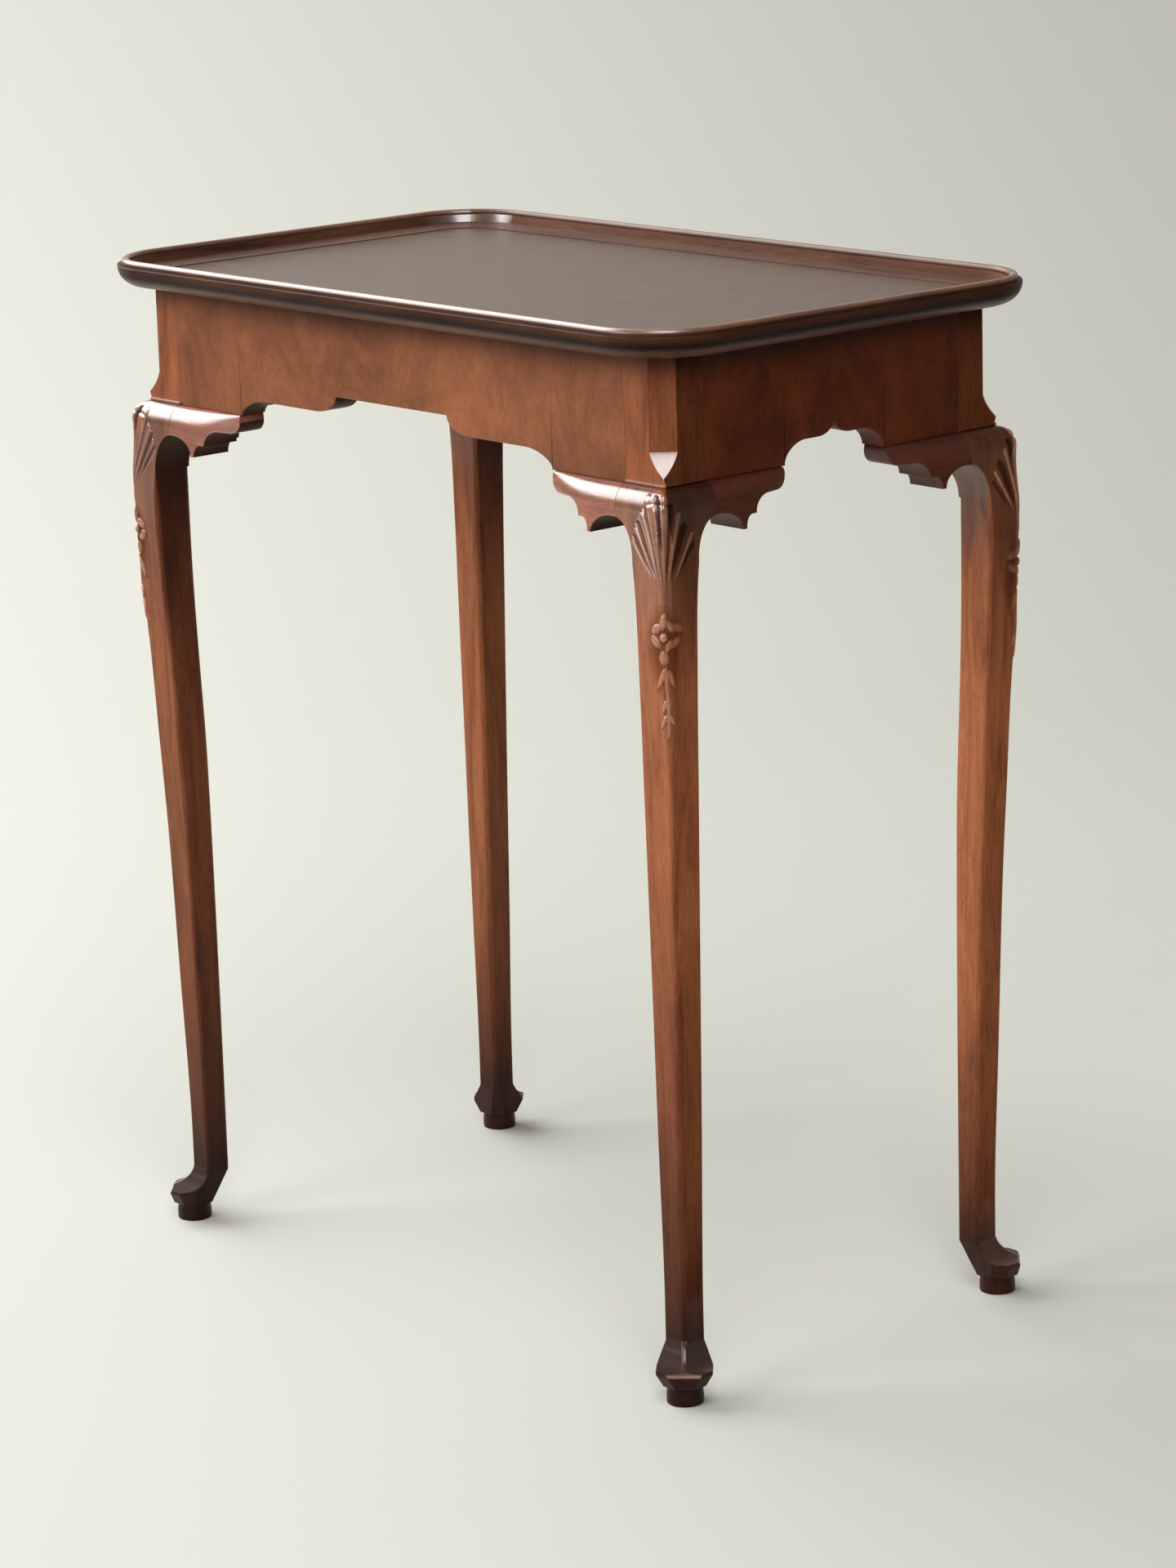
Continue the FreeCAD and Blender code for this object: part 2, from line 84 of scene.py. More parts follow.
forward = Vector((-math.sin(yaw) * math.cos(pitch), math.cos(yaw) * math.cos(pitch), -math.sin(pitch)))
level_right = forward.cross(Vector((0, 0, 1))).normalized()
level_up = level_right.cross(forward)
camera_right = level_right * math.cos(roll) + level_up * math.sin(roll)
camera_up = level_up * math.cos(roll) - level_right * math.sin(roll)

camera_data = bpy.data.cameras.new("camera")
camera_data.lens = focal_pixels * camera_data.sensor_width / picture_height
camera_data.clip_end = 100
camera = bpy.data.objects.new("camera", camera_data)
camera.matrix_world = Matrix((camera_right, camera_up, -forward)).transposed().to_4x4()
camera.matrix_world.translation = camera_place
bpy.context.scene.collection.objects.link(camera)
bpy.context.scene.camera = camera
print("lens", round(camera_data.lens, 2), "mm")

# %% [markdown]
# ## Floor, backdrop and light
# The table stands in soft daylight: bright from the left and from the front, and dim on its right
# side. A pale sheet runs along the floor and bends up behind the table, as in a photographer's
# studio. Its surface is a profile of a floor line, a quarter round and a wall, carried along a
# straight path. The sheet is clear from behind, so that the table can be seen from the back and from
# below as well. A wide lamp stands for a window on the left. The round tops of the knee brackets
# mirror it as a white streak. A smaller one lights the front, and a third stands for a ceiling
# light. It shines back from the sloping stops of the corner posts.

# %% Pale sheet under and behind the table
sheet_half_width = 30.0
sheet_front = 30.0
bend_start = 1.6
bend_radius = 1.2
wall_height = 6.0
quarter_turn = np.linspace(0, math.pi / 2, 25)
wall_place = bend_start + bend_radius
sheet_out = np.concatenate(([-sheet_front], bend_start + bend_radius * np.sin(quarter_turn), [wall_place]))
sheet_up = np.concatenate(([0], bend_radius * (1 - np.cos(quarter_turn)), [wall_height]))
back = Vector((-math.sin(yaw), math.cos(yaw), 0))
side = Vector((math.cos(yaw), math.sin(yaw), 0))
sheet_points = [back * out + side * across + Vector((0, 0, up))
                for out, up in zip(sheet_out, sheet_up)
                for across in (-sheet_half_width, sheet_half_width)]
sheet_faces = [(k, k + 1, k + 3, k + 2) for k in range(0, len(sheet_points) - 2, 2)]
sheet_mesh = bpy.data.meshes.new("floor_sheet")
sheet_mesh.from_pydata(sheet_points, [], sheet_faces)
sheet_mesh.shade_smooth()
sheet = bpy.data.objects.new("floor_sheet", sheet_mesh)
bpy.context.scene.collection.objects.link(sheet)
print("sheet faces", len(sheet_faces))


# %% Paper that is clear from behind
def new_finish(name):
    """A fresh material, with its node tree and its main shader."""
    material = bpy.data.materials.new(name)
    material.use_nodes = True
    return material, material.node_tree, material.node_tree.nodes["Principled BSDF"]


def link_node(tree, kind, inputs=None, **settings):
    """Adds a node, sets its fields, and fills its sockets with values or with other sockets."""
    node = tree.nodes.new(kind)
    for field, value in settings.items():
        setattr(node, field, value)
    for socket, value in (inputs or {}).items():
        if isinstance(value, bpy.types.NodeSocket):
            tree.links.new(value, node.inputs[socket])
        else:
            node.inputs[socket].default_value = value
    return node


sheet_paper, paper_tree, paper_shader = new_finish("pale_paper")
paper_shader.inputs["Base Color"].default_value = (0.56, 0.56, 0.51, 1)
paper_shader.inputs["Roughness"].default_value = 0.9
seen_from = link_node(paper_tree, "ShaderNodeNewGeometry")
clear = link_node(paper_tree, "ShaderNodeBsdfTransparent")
one_way = link_node(paper_tree, "ShaderNodeMixShader", {
    0: seen_from.outputs["Backfacing"], 1: paper_shader.outputs["BSDF"], 2: clear.outputs["BSDF"]})
paper_tree.links.new(one_way.outputs["Shader"], paper_tree.nodes["Material Output"].inputs["Surface"])
sheet_mesh.materials.append(sheet_paper)
print("paper", sheet_paper.name)


# %% Windows, ceiling light and dim surroundings
def softbox(name, place, aim, width, height, power):
    """A rectangular lamp at a place, turned to face a point."""
    lamp = bpy.data.lights.new(name, "AREA")
    lamp.shape = "RECTANGLE"
    lamp.size = width
    lamp.size_y = height
    lamp.energy = power
    box = bpy.data.objects.new(name, lamp)
    box.location = place
    box.rotation_euler = (Vector(aim) - Vector(place)).to_track_quat("-Z", "Y").to_euler()
    bpy.context.scene.collection.objects.link(box)


softbox("left_window", (-2.6, -0.75, 2.4), aim=(0, -0.2, 0.6), width=4.2, height=2.8, power=200)
softbox("front_window", (-0.6, -3.8, 1.7), aim=(0, 0, 0.45), width=1.9, height=1.6, power=65)
softbox("ceiling_light", (1.4, -1.1, 2.5), aim=(0.2, -0.1, 0.6), width=1.1, height=2.9, power=46)

world = bpy.data.worlds.new("dim_room")
world.use_nodes = True
world.node_tree.nodes["Background"].inputs["Color"].default_value = (0.142, 0.131, 0.12, 1)
world.node_tree.nodes["Background"].inputs["Strength"].default_value = 1.0
bpy.context.scene.world = world
bpy.context.scene.view_settings.view_transform = "Standard"
print("lamps", [light.name for light in bpy.data.lights])

# %% [markdown]
# ## From rings of points to a closed skin
# Every new piece below is a stack of rings: a closed section, carried along the piece. Each ring
# has the same number of points, so a ring and the next one make a belt of four-sided faces. The
# first and last rings are closed with a flat cap. A piece that is mirrored for another corner
# comes out inside out, so the sign of its volume is worked out first, and the faces are turned
# if it is negative.

# %% Closed skin from rings
sharp_angle = math.radians(38)
# Darker tones, of old wood and of painted shade alike, are redder, so green and blue take a higher
# power of the tone than red does.
tone_powers = np.array((1.0, 1.12, 1.22))


def skin_from_rings(name, rings, node, tone, polish):
    """Joins ring k to ring k + 1 with quads and caps both ends.

    tone says how light each point is and polish how much it shines, for the finish to read.
    The sum of a . (b x c) over the triangles, about the middle of the piece, is six times the
    volume. It is positive when the faces point outwards.
    """
    rows, columns = rings.shape[:2]
    index = np.arange(rows * columns).reshape(rows, columns)
    ahead = np.roll(index, -1, axis=1)
    quads = np.stack((index[:-1], ahead[:-1], ahead[1:], index[1:]), axis=-1).reshape(-1, 4)
    points = rings.reshape(-1, 3) * MM
    a, b, c, d = ((points - points.mean(0))[quads[:, k]] for k in range(4))
    six_volumes = np.sum(a * np.cross(b, c)) + np.sum(a * np.cross(c, d))
    caps = [index[0][::-1], index[-1]]
    if six_volumes < 0:
        quads = quads[:, ::-1]
        caps = [cap[::-1] for cap in caps]
    mesh = bpy.data.meshes.new(name)
    mesh.from_pydata(points.tolist(), [], quads.tolist() + [cap.tolist() for cap in caps])
    shade = np.broadcast_to(tone, index.shape).reshape(-1, 1) ** tone_powers
    mesh.attributes.new("tone", "FLOAT_VECTOR", "POINT").data.foreach_set("vector", shade.ravel())
    shine = np.broadcast_to(polish, index.shape).ravel()
    mesh.attributes.new("polish", "FLOAT", "POINT").data.foreach_set("value", shine)
    mesh.shade_smooth()
    mesh.set_sharp_from_angle(angle=sharp_angle)
    piece = bpy.data.objects.new(name, mesh)
    bpy.context.scene.collection.objects.link(piece)
    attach(piece, "root")
    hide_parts(node)
    return piece


print("edges sharper than", round(math.degrees(sharp_angle)), "degrees stay crisp")

# %% [markdown]
# ## Curves that come back often
# Two curves shape almost everything. A bend goes round a corner: its handles lie a share of the
# way towards the corner, so a share of 0 is a straight bevel and 0.55 a quarter round. An eased
# line runs smoothly through a few measured places, as a thin batten would when a maker draws a
# leg. A few small helpers say how far along a stretch a place is, and what value it has there.
# All of them take and give whole arrays.

# %% Bends, eased lines and shares of the way
round_share = 0.5523
root_two = math.sqrt(2)


def bend(start, corner, end, share, steps):
    """A Bezier curve from start to end, with each handle a share of the way to the corner.

    The points have shape (rows, 2) and the result (rows, steps + 1, 2).
    """
    start, corner, end = (np.atleast_2d(point)[:, None, :] for point in (start, corner, end))
    share = np.asarray(share, float).reshape(-1, 1, 1)
    t = np.linspace(0, 1, steps + 1)[None, :, None]
    first = start + (corner - start) * share
    second = end + (corner - end) * share
    return ((1 - t) ** 3 * start + 3 * (1 - t) ** 2 * t * first
            + 3 * (1 - t) * t ** 2 * second + t ** 3 * end)


def eased(place, knots):
    """A line through (place, value) knots: cubics whose slope at a knot is its neighbours' slope."""
    at, value = np.array(sorted(knots), float).T
    slope = np.gradient(value, at)
    k = np.clip(np.searchsorted(at, place) - 1, 0, len(at) - 2)
    span = at[k + 1] - at[k]
    t = np.clip((place - at[k]) / span, 0, 1)
    return ((2 * t ** 3 - 3 * t ** 2 + 1) * value[k] + (t ** 3 - 2 * t ** 2 + t) * span * slope[k]
            + (3 * t ** 2 - 2 * t ** 3) * value[k + 1] + (t ** 3 - t ** 2) * span * slope[k + 1])


def through(place, knots):
    """Straight lines through (place, value) knots, level beyond the first and the last."""
    return np.interp(place, *zip(*knots))


def way(start, end, place):
    """How far a place is on the way from start to end: 0 before the start and 1 past the end."""
    return np.clip((place - start) / (end - start), 0, 1)


def mixed(start, end, share):
    """The value a share of the way from start to end: start and that share of the difference."""
    return start + (end - start) * share


def quarter_round(share):
    """1 - sqrt(1 - share squared): a quarter circle from 0 to 1 that starts level and ends upright."""
    return 1 - np.sqrt(1 - share ** 2)


print("a quarter round's middle", bend((0, 1), (0, 0), (1, 0), round_share, 2)[0, 1].round(3))

# %% [markdown]
# ## The cabriole leg
# A leg is one length of mahogany: a square post with a chamfered corner, a knee that swells out
# under the apron, a long curve down to a thin ankle, a scooped pointed toe and a small round pad.
# A maker saws the same curve on two faces and then softens the four arrises. The surface here
# follows that. For each height it has an outer and an inner line, and a square between them whose
# corners are cut by given amounts. Going down in steps of height, those numbers change along
# eased lines and quarter rounds.

# %% Heights and lines of the leg
post_width = 35.0
chamfer_inset = 8.7
tongue_top = knee_top + 22
tongue_point = knee_top + 6
nick_height = 0.5
nick_depth = 0.4
reveal_height = 2.3
reveal_out = 0.8
knee_round = 10.0
knee_round_drop = 15.0
arch_top = knee_top - 20
arch_spring = arch_top - 27
carving_end = 443.0
carving_step = 0.6
ankle = 65.0
scoop_top = 41.0
flare_top = 37.0
toe_top = 23.4
toe_base = 21.0
heel = 36.0
pad_height = 12.5

outer_arris = 1.2
outer_line = [(584, -10), (545, -12), (477.8, -9.9), (415, -6.8), (358, -4.8), (300, -2.8),
              (180, -0.16), (ankle, 2.1), (35, 2.1)]
inner_line = [(552, 17.7), (520, 17.7), (477.8, 17.9), (415, 19.1), (358, 20.5), (290, 21.1),
              (180, 21.4), (35, 21.4)]
side_line = [(560, 21.4), (545, 20.2), (477.8, 18.2), (415, 17.3), (300, 15.7), (180, 14.1),
             (ankle, 12.4), (35, 12.4)]
arris_line = [(606, 0.8), (592, 1.0), (575, 2.6), (540, 2.4), (480, 1.8), (400, 1.3),
              (300, outer_arris), (35, outer_arris)]


def leg_heights():
    """Rows from the tray down: dense at the stop, the carving and the foot, sparse on the shank."""
    rows = np.concatenate((
        np.linspace(tray_under, tongue_top, 9), tongue_top - nick_height * np.linspace(0, 1, 6),
        np.linspace(tongue_top - nick_height, tongue_point, 26),
        knee_top + reveal_height * np.linspace(1, 0, 9),
        knee_top - knee_round_drop * (1 - np.cos(quarter_turn)),
        np.arange(knee_top - knee_round_drop, carving_end, -carving_step),
        arch_spring + (arch_top - arch_spring) * np.sin(quarter_turn),
        np.linspace(carving_end, ankle, 64), np.linspace(ankle, scoop_top, 6),
        scoop_top - (scoop_top - toe_top) * np.sin(quarter_turn),
        np.linspace(toe_top, toe_base, 5), np.linspace(toe_base, pad_height, 8)))
    return np.unique(rows.round(3))[::-1]


leg_rows = leg_heights()
print("rows of a leg", len(leg_rows))

# %% Section sizes at every height
pad_radius = 12.2
pad_inset = 2.2
sole_margin = 1.6
toe_corner = 16.3
toe_out = 12.5
toe_half_width = 18.4
toe_bevel = 1.2
crisp = 0.1
inner_arris = 1.4
stop_straight_share = 0.45
stop_power = 2.2


def leg_sizes(height):
    """Outer and inner line, and the cuts at the outer, side and inner corners, for each height."""
    reveal_turn = math.pi * way(knee_top, knee_top + reveal_height, height)
    rise = way(knee_top - knee_round_drop, knee_top, height)
    outer = np.where(height > knee_top, -reveal_out * np.sin(reveal_turn),
                     knee_round * (quarter_round(rise) - 1))
    outer = np.where(height <= knee_top - knee_round_drop, eased(height, outer_line), outer)
    scoop = quarter_round(way(scoop_top, toe_top, height))
    outer = np.where(height <= scoop_top, mixed(outer_line[-1][1], -toe_corner, scoop), outer)
    arch = quarter_round(way(arch_spring, arch_top, height))
    inner = mixed(inner_line[0][1], post_width, arch)
    inner = np.where(height < arch_spring, eased(height, inner_line), inner)

    stop = way(tongue_top - nick_height, tongue_point, height)
    sunk = stop_straight_share * stop + (1 - stop_straight_share) * stop ** stop_power
    nick = nick_depth * np.sin(math.pi * way(tongue_top, tongue_top - nick_height, height))
    chamfer = chamfer_inset * (1 - sunk) + nick
    outer_cut = np.where(height <= tongue_point, eased(height, arris_line), chamfer)
    plain_side = (inner - outer) / root_two - eased(height, side_line)
    side_cut = np.where(height > side_line[0][0], crisp, plain_side)
    inner_cut = np.where(height > arch_spring, crisp, inner_arris)

    sole_half = pad_radius + sole_margin
    under = way(toe_base, pad_height, height)
    heel_under = way(heel, pad_height, height)
    toe_diagonal = toe_bevel * (1 - way(toe_top, toe_base, height)) - toe_out
    toe_diagonal = mixed(toe_diagonal, pad_inset * root_two - sole_half, under)
    toe_width = mixed(side_line[-1][1], toe_half_width, way(flare_top, toe_top, height))
    toe_width = mixed(toe_width, sole_half, under)
    heel_diagonal = inner_line[-1][1] * root_two - inner_arris
    heel_diagonal = mixed(heel_diagonal, pad_inset * root_two + sole_half, heel_under)
    outer = mixed(outer, pad_inset - sole_half, under)
    inner = mixed(inner, pad_inset + sole_half, heel_under)
    foot = height <= scoop_top
    outer_cut = np.where(foot, np.maximum(toe_diagonal - outer * root_two, outer_arris), outer_cut)
    side_cut = np.where(foot, (inner - outer) / root_two - toe_width, side_cut)
    inner_cut = np.where(height <= heel, inner * root_two - heel_diagonal, inner_cut)
    return outer, inner, [np.maximum(cut, crisp) for cut in (outer_cut, side_cut, inner_cut)]


leg_outer, leg_inner, leg_cuts = leg_sizes(leg_rows)
print("knee", leg_outer.min().round(2), "to", leg_inner.max().round(2))

# %% [markdown]
# ### One ring of the leg
# The ring goes round the square: the cut outer corner, an outer face, a side corner, the two
# inner faces with the inner corner between them, the other side corner and the second outer face.
# A cut corner is a bend. On the post and at the toe's edge the outer one has a share of 0, so it is
# a flat bevel, and between them it is round. The other three corners are bevels that are only a
# little round. More points lie near the outer corner, where the carving will need them.

# %% Rings of the leg
outer_steps, face_steps, corner_steps, inner_steps = 14, 58, 6, 14
arris_share = 0.25
crowding = 0.45


def cut_length(cut, share):
    """How far along a face a corner's bend starts, for a bend whose middle lies cut inside it."""
    return 8 * cut / (root_two * (4 - 3 * share))


def leg_section(outer, inner, cuts, shares):
    """Closed rings of (a, b) points, with a and b measured inwards from the post's outer corner.

    Each of the four corners is a bend, and each face a straight run from one bend to the next.
    cuts and shares are in the order of the corners: outer, side, inner and other side.
    """
    places = [np.stack(pair, axis=-1)
              for pair in ((outer, outer), (inner, outer), (inner, inner), (outer, inner))]
    directions = np.array(((1, 0), (0, 1), (-1, 0), (0, -1)))
    lengths = [cut_length(cut, share)[:, None] for cut, share in zip(cuts, shares)]
    starts = [places[k] - directions[k - 1] * lengths[k] for k in range(4)]
    ends = [places[k] + directions[k] * lengths[k] for k in range(4)]
    u = np.linspace(0, 1, face_steps + 1)
    near_first = (1 - crowding) * u + crowding * u ** 2
    even = np.linspace(0, 1, inner_steps + 1)
    spacings = (near_first, even, even, 1 - near_first[::-1])
    counts = (outer_steps, corner_steps, corner_steps, corner_steps)
    runs = []
    for k in range(4):
        runs.append(bend(starts[k], places[k], ends[k], shares[k], counts[k]))
        face = (starts[(k + 1) % 4] - ends[k])[:, None, :]
        runs.append(ends[k][:, None, :] + face * spacings[k][None, :, None])
    return np.concatenate([run[:, :-1] for run in runs], axis=1)


flat_bevel = (leg_rows > tongue_point) | (leg_rows <= toe_top)
above_toe = way(toe_top, scoop_top, leg_rows)
outer_share = np.where(flat_bevel, 0, round_share * above_toe)
other_share = np.where(leg_rows <= toe_top, 0, arris_share * above_toe)
outer_cut, side_cut, inner_cut = leg_cuts
leg_rings = leg_section(leg_outer, leg_inner, (outer_cut, side_cut, inner_cut, side_cut),
                        (outer_share, other_share, other_share, other_share))
print("points of a ring", leg_rings.shape[1])

# %% [markdown]
# ### Carving on the knee
# A fan of raised ribs and gouge cuts spreads over the knee from a point below it, under a small
# round cap with a groove beneath. Below the fan hangs a flower of egg-shaped petals in a sunk
# ground, then a husk of leaves on a thin stem. A carver would outline it with a parting tool and
# sink gouges between the ribs. Sculpting by hand would do it once, but a height field repeats on
# four legs: it says how far each point moves outwards, as a function of its distance from the
# arris and its height. Ribs and cuts are parabolas of the angle about the fan's root, and petals
# and leaves are rounded forms about their own middle lines.

# %% Parts of the carving as height fields
fan_root = 529.0
flute_fade = 14.0
least_flute_width = 0.2
least_flute_angle = 0.01
leaf_margin = 0.001
# The root of x times 1 - x is at most 0.385, and this brings it to 1.
leaf_fullness = 2.6


def flute(turn, reach, middle, half, start, top):
    """Depth of a gouge cut, or height of a rib, from 0 to 1: a parabola across its angle.

    turn is the angle from the fan's middle in degrees and reach the distance from its root. The
    flute fades in from start and has a round upper end at top.
    """
    width = np.maximum(reach * math.tan(math.radians(half)), least_flute_width)
    over = np.clip((reach - top + width) / width, 0, 1)
    half_here = np.maximum(half * np.sqrt(1 - over ** 2), least_flute_angle)
    fade = way(start, start + flute_fade, reach)
    return np.clip(1 - ((turn - middle) / half_here) ** 2, 0, 1) * fade * (over < 1)


def leaf(across, height, root, tip, half_width):
    """Height 0 to 1 of a leaf: round across, widest a third of the way from its root to its tip."""
    run = np.subtract(tip, root)
    length = np.hypot(*run)
    along = ((across - root[0]) * run[0] + (height - root[1]) * run[1]) / length ** 2
    off = ((across - root[0]) * run[1] - (height - root[1]) * run[0]) / length
    inside = np.clip(along, leaf_margin, 1 - leaf_margin)
    width = half_width * leaf_fullness * np.sqrt(inside) * (1 - inside)
    return np.sqrt(np.clip(1 - (off / width) ** 2, 0, 1)) * (along > 0) * (along < 1)


def petal(across, height, middle, half_length, half_width, lean=0):
    """Height 0 to 1 of half an egg, with its long axis leaning over by an angle in degrees."""
    sine, cosine = math.sin(math.radians(lean)), math.cos(math.radians(lean))
    x, y = across - middle[0], height - middle[1]
    along = (x * sine + y * cosine) / half_length
    off = (x * cosine - y * sine) / half_width
    return np.sqrt(np.clip(1 - along ** 2 - off ** 2, 0, 1))


print("a leaf's middle", leaf(0, 5, (0, 0), (0, 10), 2).round(2))

# %% Relief of fan, flower and husk
# Each stroke of the fan has its middle and half width in degrees, its start and top in
# millimetres from the root, and its rise, which is negative for a cut.
fan_strokes = [(-8.0, 3.4, 10, 67, 0.7), (0.2, 2.6, 8, 67, 0.7), (-3.6, 1.5, 30, 67, -1.7),
               (-11.8, 1.2, 12, 61, -0.9), (-14.8, 2.6, 12, 57, 0.7), (-18.8, 2.0, 14, 53, -1.0),
               (-22.2, 1.3, 14, 49, 0.4), (-25.4, 1.8, 16, 46, -0.9), (-28.6, 1.2, 16, 43, 0.5),
               (4.8, 2.2, 12, 63, -1.2), (9.0, 1.4, 12, 57, 0.7), (14.6, 3.8, 13, 51, -1.1),
               (21.6, 1.4, 14, 46, 0.6), (26.4, 2.6, 16, 41, -0.9)]
cap_middle = (-2.8, knee_top - 3.6)
cap_size = (3.0, 4.8)
cap_foot = knee_top - 7.2
cap_height = 0.5
cap_groove = 0.9
cap_groove_half = 0.7
cap_arch = 0.04
cap_reach = 8.0
flower_petals = [((-1.6, 518.0), 5.6, 2.5, 10), ((-6.2, 513.0), 4.2, 2.6, 38),
                 ((2.6, 515.4), 4.6, 2.1, -26), ((7.0, 513.6), 3.6, 2.4, -50),
                 ((-6.6, 504.8), 4.6, 2.6, -29), ((1.6, 502.6), 4.6, 2.0, 26),
                 ((5.8, 504.5), 4.2, 2.2, 40), ((-1.6, 495.0), 5.0, 3.5, 0)]
flower_middle = ((-1.6, 508.0), 3.0, 2.8)
husk_leaves = [((-0.4, 490), (0.2, 468), 1.8), ((-1.4, 488), (-6.0, 474), 1.9),
               ((1.2, 487.5), (4.7, 475), 1.8), ((-0.8, 468), (-2.6, 459.5), 1.4),
               ((-0.8, 458), (-3.8, 449.5), 1.4), ((1.2, 459), (3.6, 451), 1.2)]
husk_stem = ((0.4, 464), 27, 1.2)
sunk_ground = ((-0.5, 500), 34, 13)
flower_height = 1.5
flower_middle_height = 2.0
husk_height = 1.2
ground_depth = 0.9
carving_fade = 2.0
side_fade_columns = 6


def knee_relief(across, height):
    """How far the carved knee stands out, or in where negative, from the plain leg, in mm."""
    reach = np.hypot(across, height - fan_root)
    turn = np.degrees(np.arctan2(across, height - fan_root))
    fan = sum(rise * flute(turn, reach, *stroke) for *stroke, rise in fan_strokes)
    off_cap = np.abs(across - cap_middle[0])
    groove = np.exp(-((height - cap_foot + cap_arch * off_cap ** 2) / cap_groove_half) ** 2)
    fan -= cap_groove * groove * np.clip(cap_reach - off_cap, 0, 1)
    fan += cap_height * petal(across, height, cap_middle, *cap_size)

    raised = [flower_height * petal(across, height, *shape) for shape in flower_petals]
    raised += [husk_height * leaf(across, height, *shape) for shape in husk_leaves]
    raised.append(husk_height * petal(across, height, *husk_stem))
    raised.append(flower_middle_height * petal(across, height, *flower_middle))
    ground = ground_depth * petal(across, height, *sunk_ground) ** 2
    return np.where(height > fan_root, fan, np.max(raised, axis=0) - ground)


columns = leg_rings.shape[1]
column = np.arange(columns)
last_outer = outer_steps + face_steps
end_face = column >= columns - face_steps
from_side = np.where(column < last_outer, last_outer - column, column - (columns - face_steps) + 1)
on_outside = np.clip(from_side / side_fade_columns, 0, 1) * ((column < last_outer) | end_face)
across_row = (leg_rings[..., 1] - leg_rings[..., 0]) / root_two
height_row = np.broadcast_to(leg_rows[:, None], across_row.shape)
carved_rows = way(carving_end, carving_end + carving_fade, leg_rows) * (leg_rows < knee_top)
leg_relief = knee_relief(across_row, height_row) * on_outside * carved_rows[:, None]
print("carving from", leg_relief.min().round(2), "to", leg_relief.max().round(2), "mm")

# %% [markdown]
# ### Light, dark and shine on the leg
# The cuts are painted dark, as shade, and they are dull. The ribs and petals are painted lighter,
# as highlight and wear. The feet are almost black, darker towards the floor, with a lighter line
# along the toe's edge. Along the shank the tone by height holds painted light and shade too. The
# knees and the stops of the posts shine, and the straight of the leg is dull. Above the foot the
# faces at the table's ends are duller than those along its sides, and towards the knee and on the
# post they are painted darker, as shade. Under the knee both inner faces are painted darker, as
# shade, one much darker than the other, which is paler and shines. The bright ribs of the knee and
# the arris over the scoops and under the stops are painted lighter, as highlights, and the chamfer
# a little darker, as shade. A shadow lies on the posts under the rim. Two numbers for each point
# keep all this: a tone, where 1 is the plain wood, and a polish between 0 and 1. They could be
# painted by hand, but here they follow from the depth of the carving, the height and the face.

# %% Tone of the leg
# Tone by height: darker towards the floor and just under the knee. Along the shank it also holds painted
# light and shade.
height_tones = [(0, 0.1), (20, 0.12), (40, 0.14), (57, 0.25), (100, 0.5), (150, 0.66), (220, 0.85),
                (280, 0.95), (400, 1.1), (480, 1.1), (550, 0.85), (585, 0.65), (600, 0.6),
                (knee_top, 0.82), (630, 0.88)]
# Painted shade in the cuts, and painted highlight together with wear on the ribs and petals.
carving_shade_and_highlight_tones = [(-1.4, 0.3), (-0.6, 0.65), (0, 1.0), (0.6, 1.25), (1.5, 1.45)]
# Painted shade on the faces at the table's ends, darker towards the knee and on the post.
end_face_shade_tones = [(470, 1.0), (520, 0.8), (560, 0.45), (585, 0.3), (600, 0.2), (knee_top - 2, 0.2),
             (knee_top + 2, 0.46)]
# Painted shade on the two inner faces, under the apron.
inside_face_shade_tones = [(440, 0.72), (500, 0.45), (550, 0.22)]
soffit_shade_tones = [(500, 1.0), (560, 0.6)]
rim_shadow = [(tray_under - 20, 1.0), (tray_under - 12, 0.75), (tray_under - 7, 0.45), (tray_under, 0.3)]
full_rib = 0.4
# Painted highlights on the ribs of the knee: on the end faces, and near the arris under the cap.
end_rib_highlight_tone = 2.5
front_rib_highlight_tones = [(575, 1.0), (592, 1.5), (604, 2.3)]
bright_rib_reach = 15.0
bright_rib_fade = 3.0
# Painted shade on the chamfer of the post.
chamfer_shade_tone = 0.92
# Painted highlight along the arris over the scoops and under the stops.
arris_highlight_tone = 2.0
toe_edge_tone = 0.75


def by_height(knots):
    """A column of values, one for each row of the leg, from (height, value) knots."""
    return through(leg_rows, knots)[:, None]


def face_weight(first, last):
    """1 on the columns of a face, rising from 0 over the corner before it."""
    return np.clip((column - first) / corner_steps + 1, 0, 1) * (column < last)


second_corner = last_outer + corner_steps + inner_steps
end_weight = face_weight(columns - face_steps, columns)
inside_weight = face_weight(last_outer + corner_steps, second_corner)
soffit_weight = face_weight(second_corner + corner_steps, columns - face_steps - corner_steps)
arris = column <= outer_steps
on_toe_edge = (leg_rows > toe_base) & (leg_rows <= toe_top)
on_scoop = (leg_rows > toe_top) & (leg_rows < scoop_top)
on_stop = (leg_rows > tongue_point) & (leg_rows < tongue_top)
under_stop = (leg_rows > knee_top) & (leg_rows <= tongue_point)
on_fan = (leg_rows > fan_root)[:, None]
on_rib = np.clip(leg_relief / full_rib, 0, 1) * on_fan

# Tone by height, the painted shadow under the rim, and the carving's painted shade and highlight.
leg_tone = by_height(height_tones) * by_height(rim_shadow) * through(leg_relief, carving_shade_and_highlight_tones)
# Painted shade on the end faces, the inside faces and the soffits.
for weight, knots in ((end_weight, end_face_shade_tones), (inside_weight, inside_face_shade_tones), (soffit_weight, soffit_shade_tones)):
    leg_tone *= 1 + weight * (by_height(knots) - 1)
# Painted highlights on the ribs of the knee.
leg_tone *= 1 + (end_rib_highlight_tone - 1) * on_rib * end_face
near_arris = np.clip((bright_rib_reach - np.abs(across_row)) / bright_rib_fade, 0, 1) * ~end_face
leg_tone *= 1 + (by_height(front_rib_highlight_tones) - 1) * on_rib * near_arris
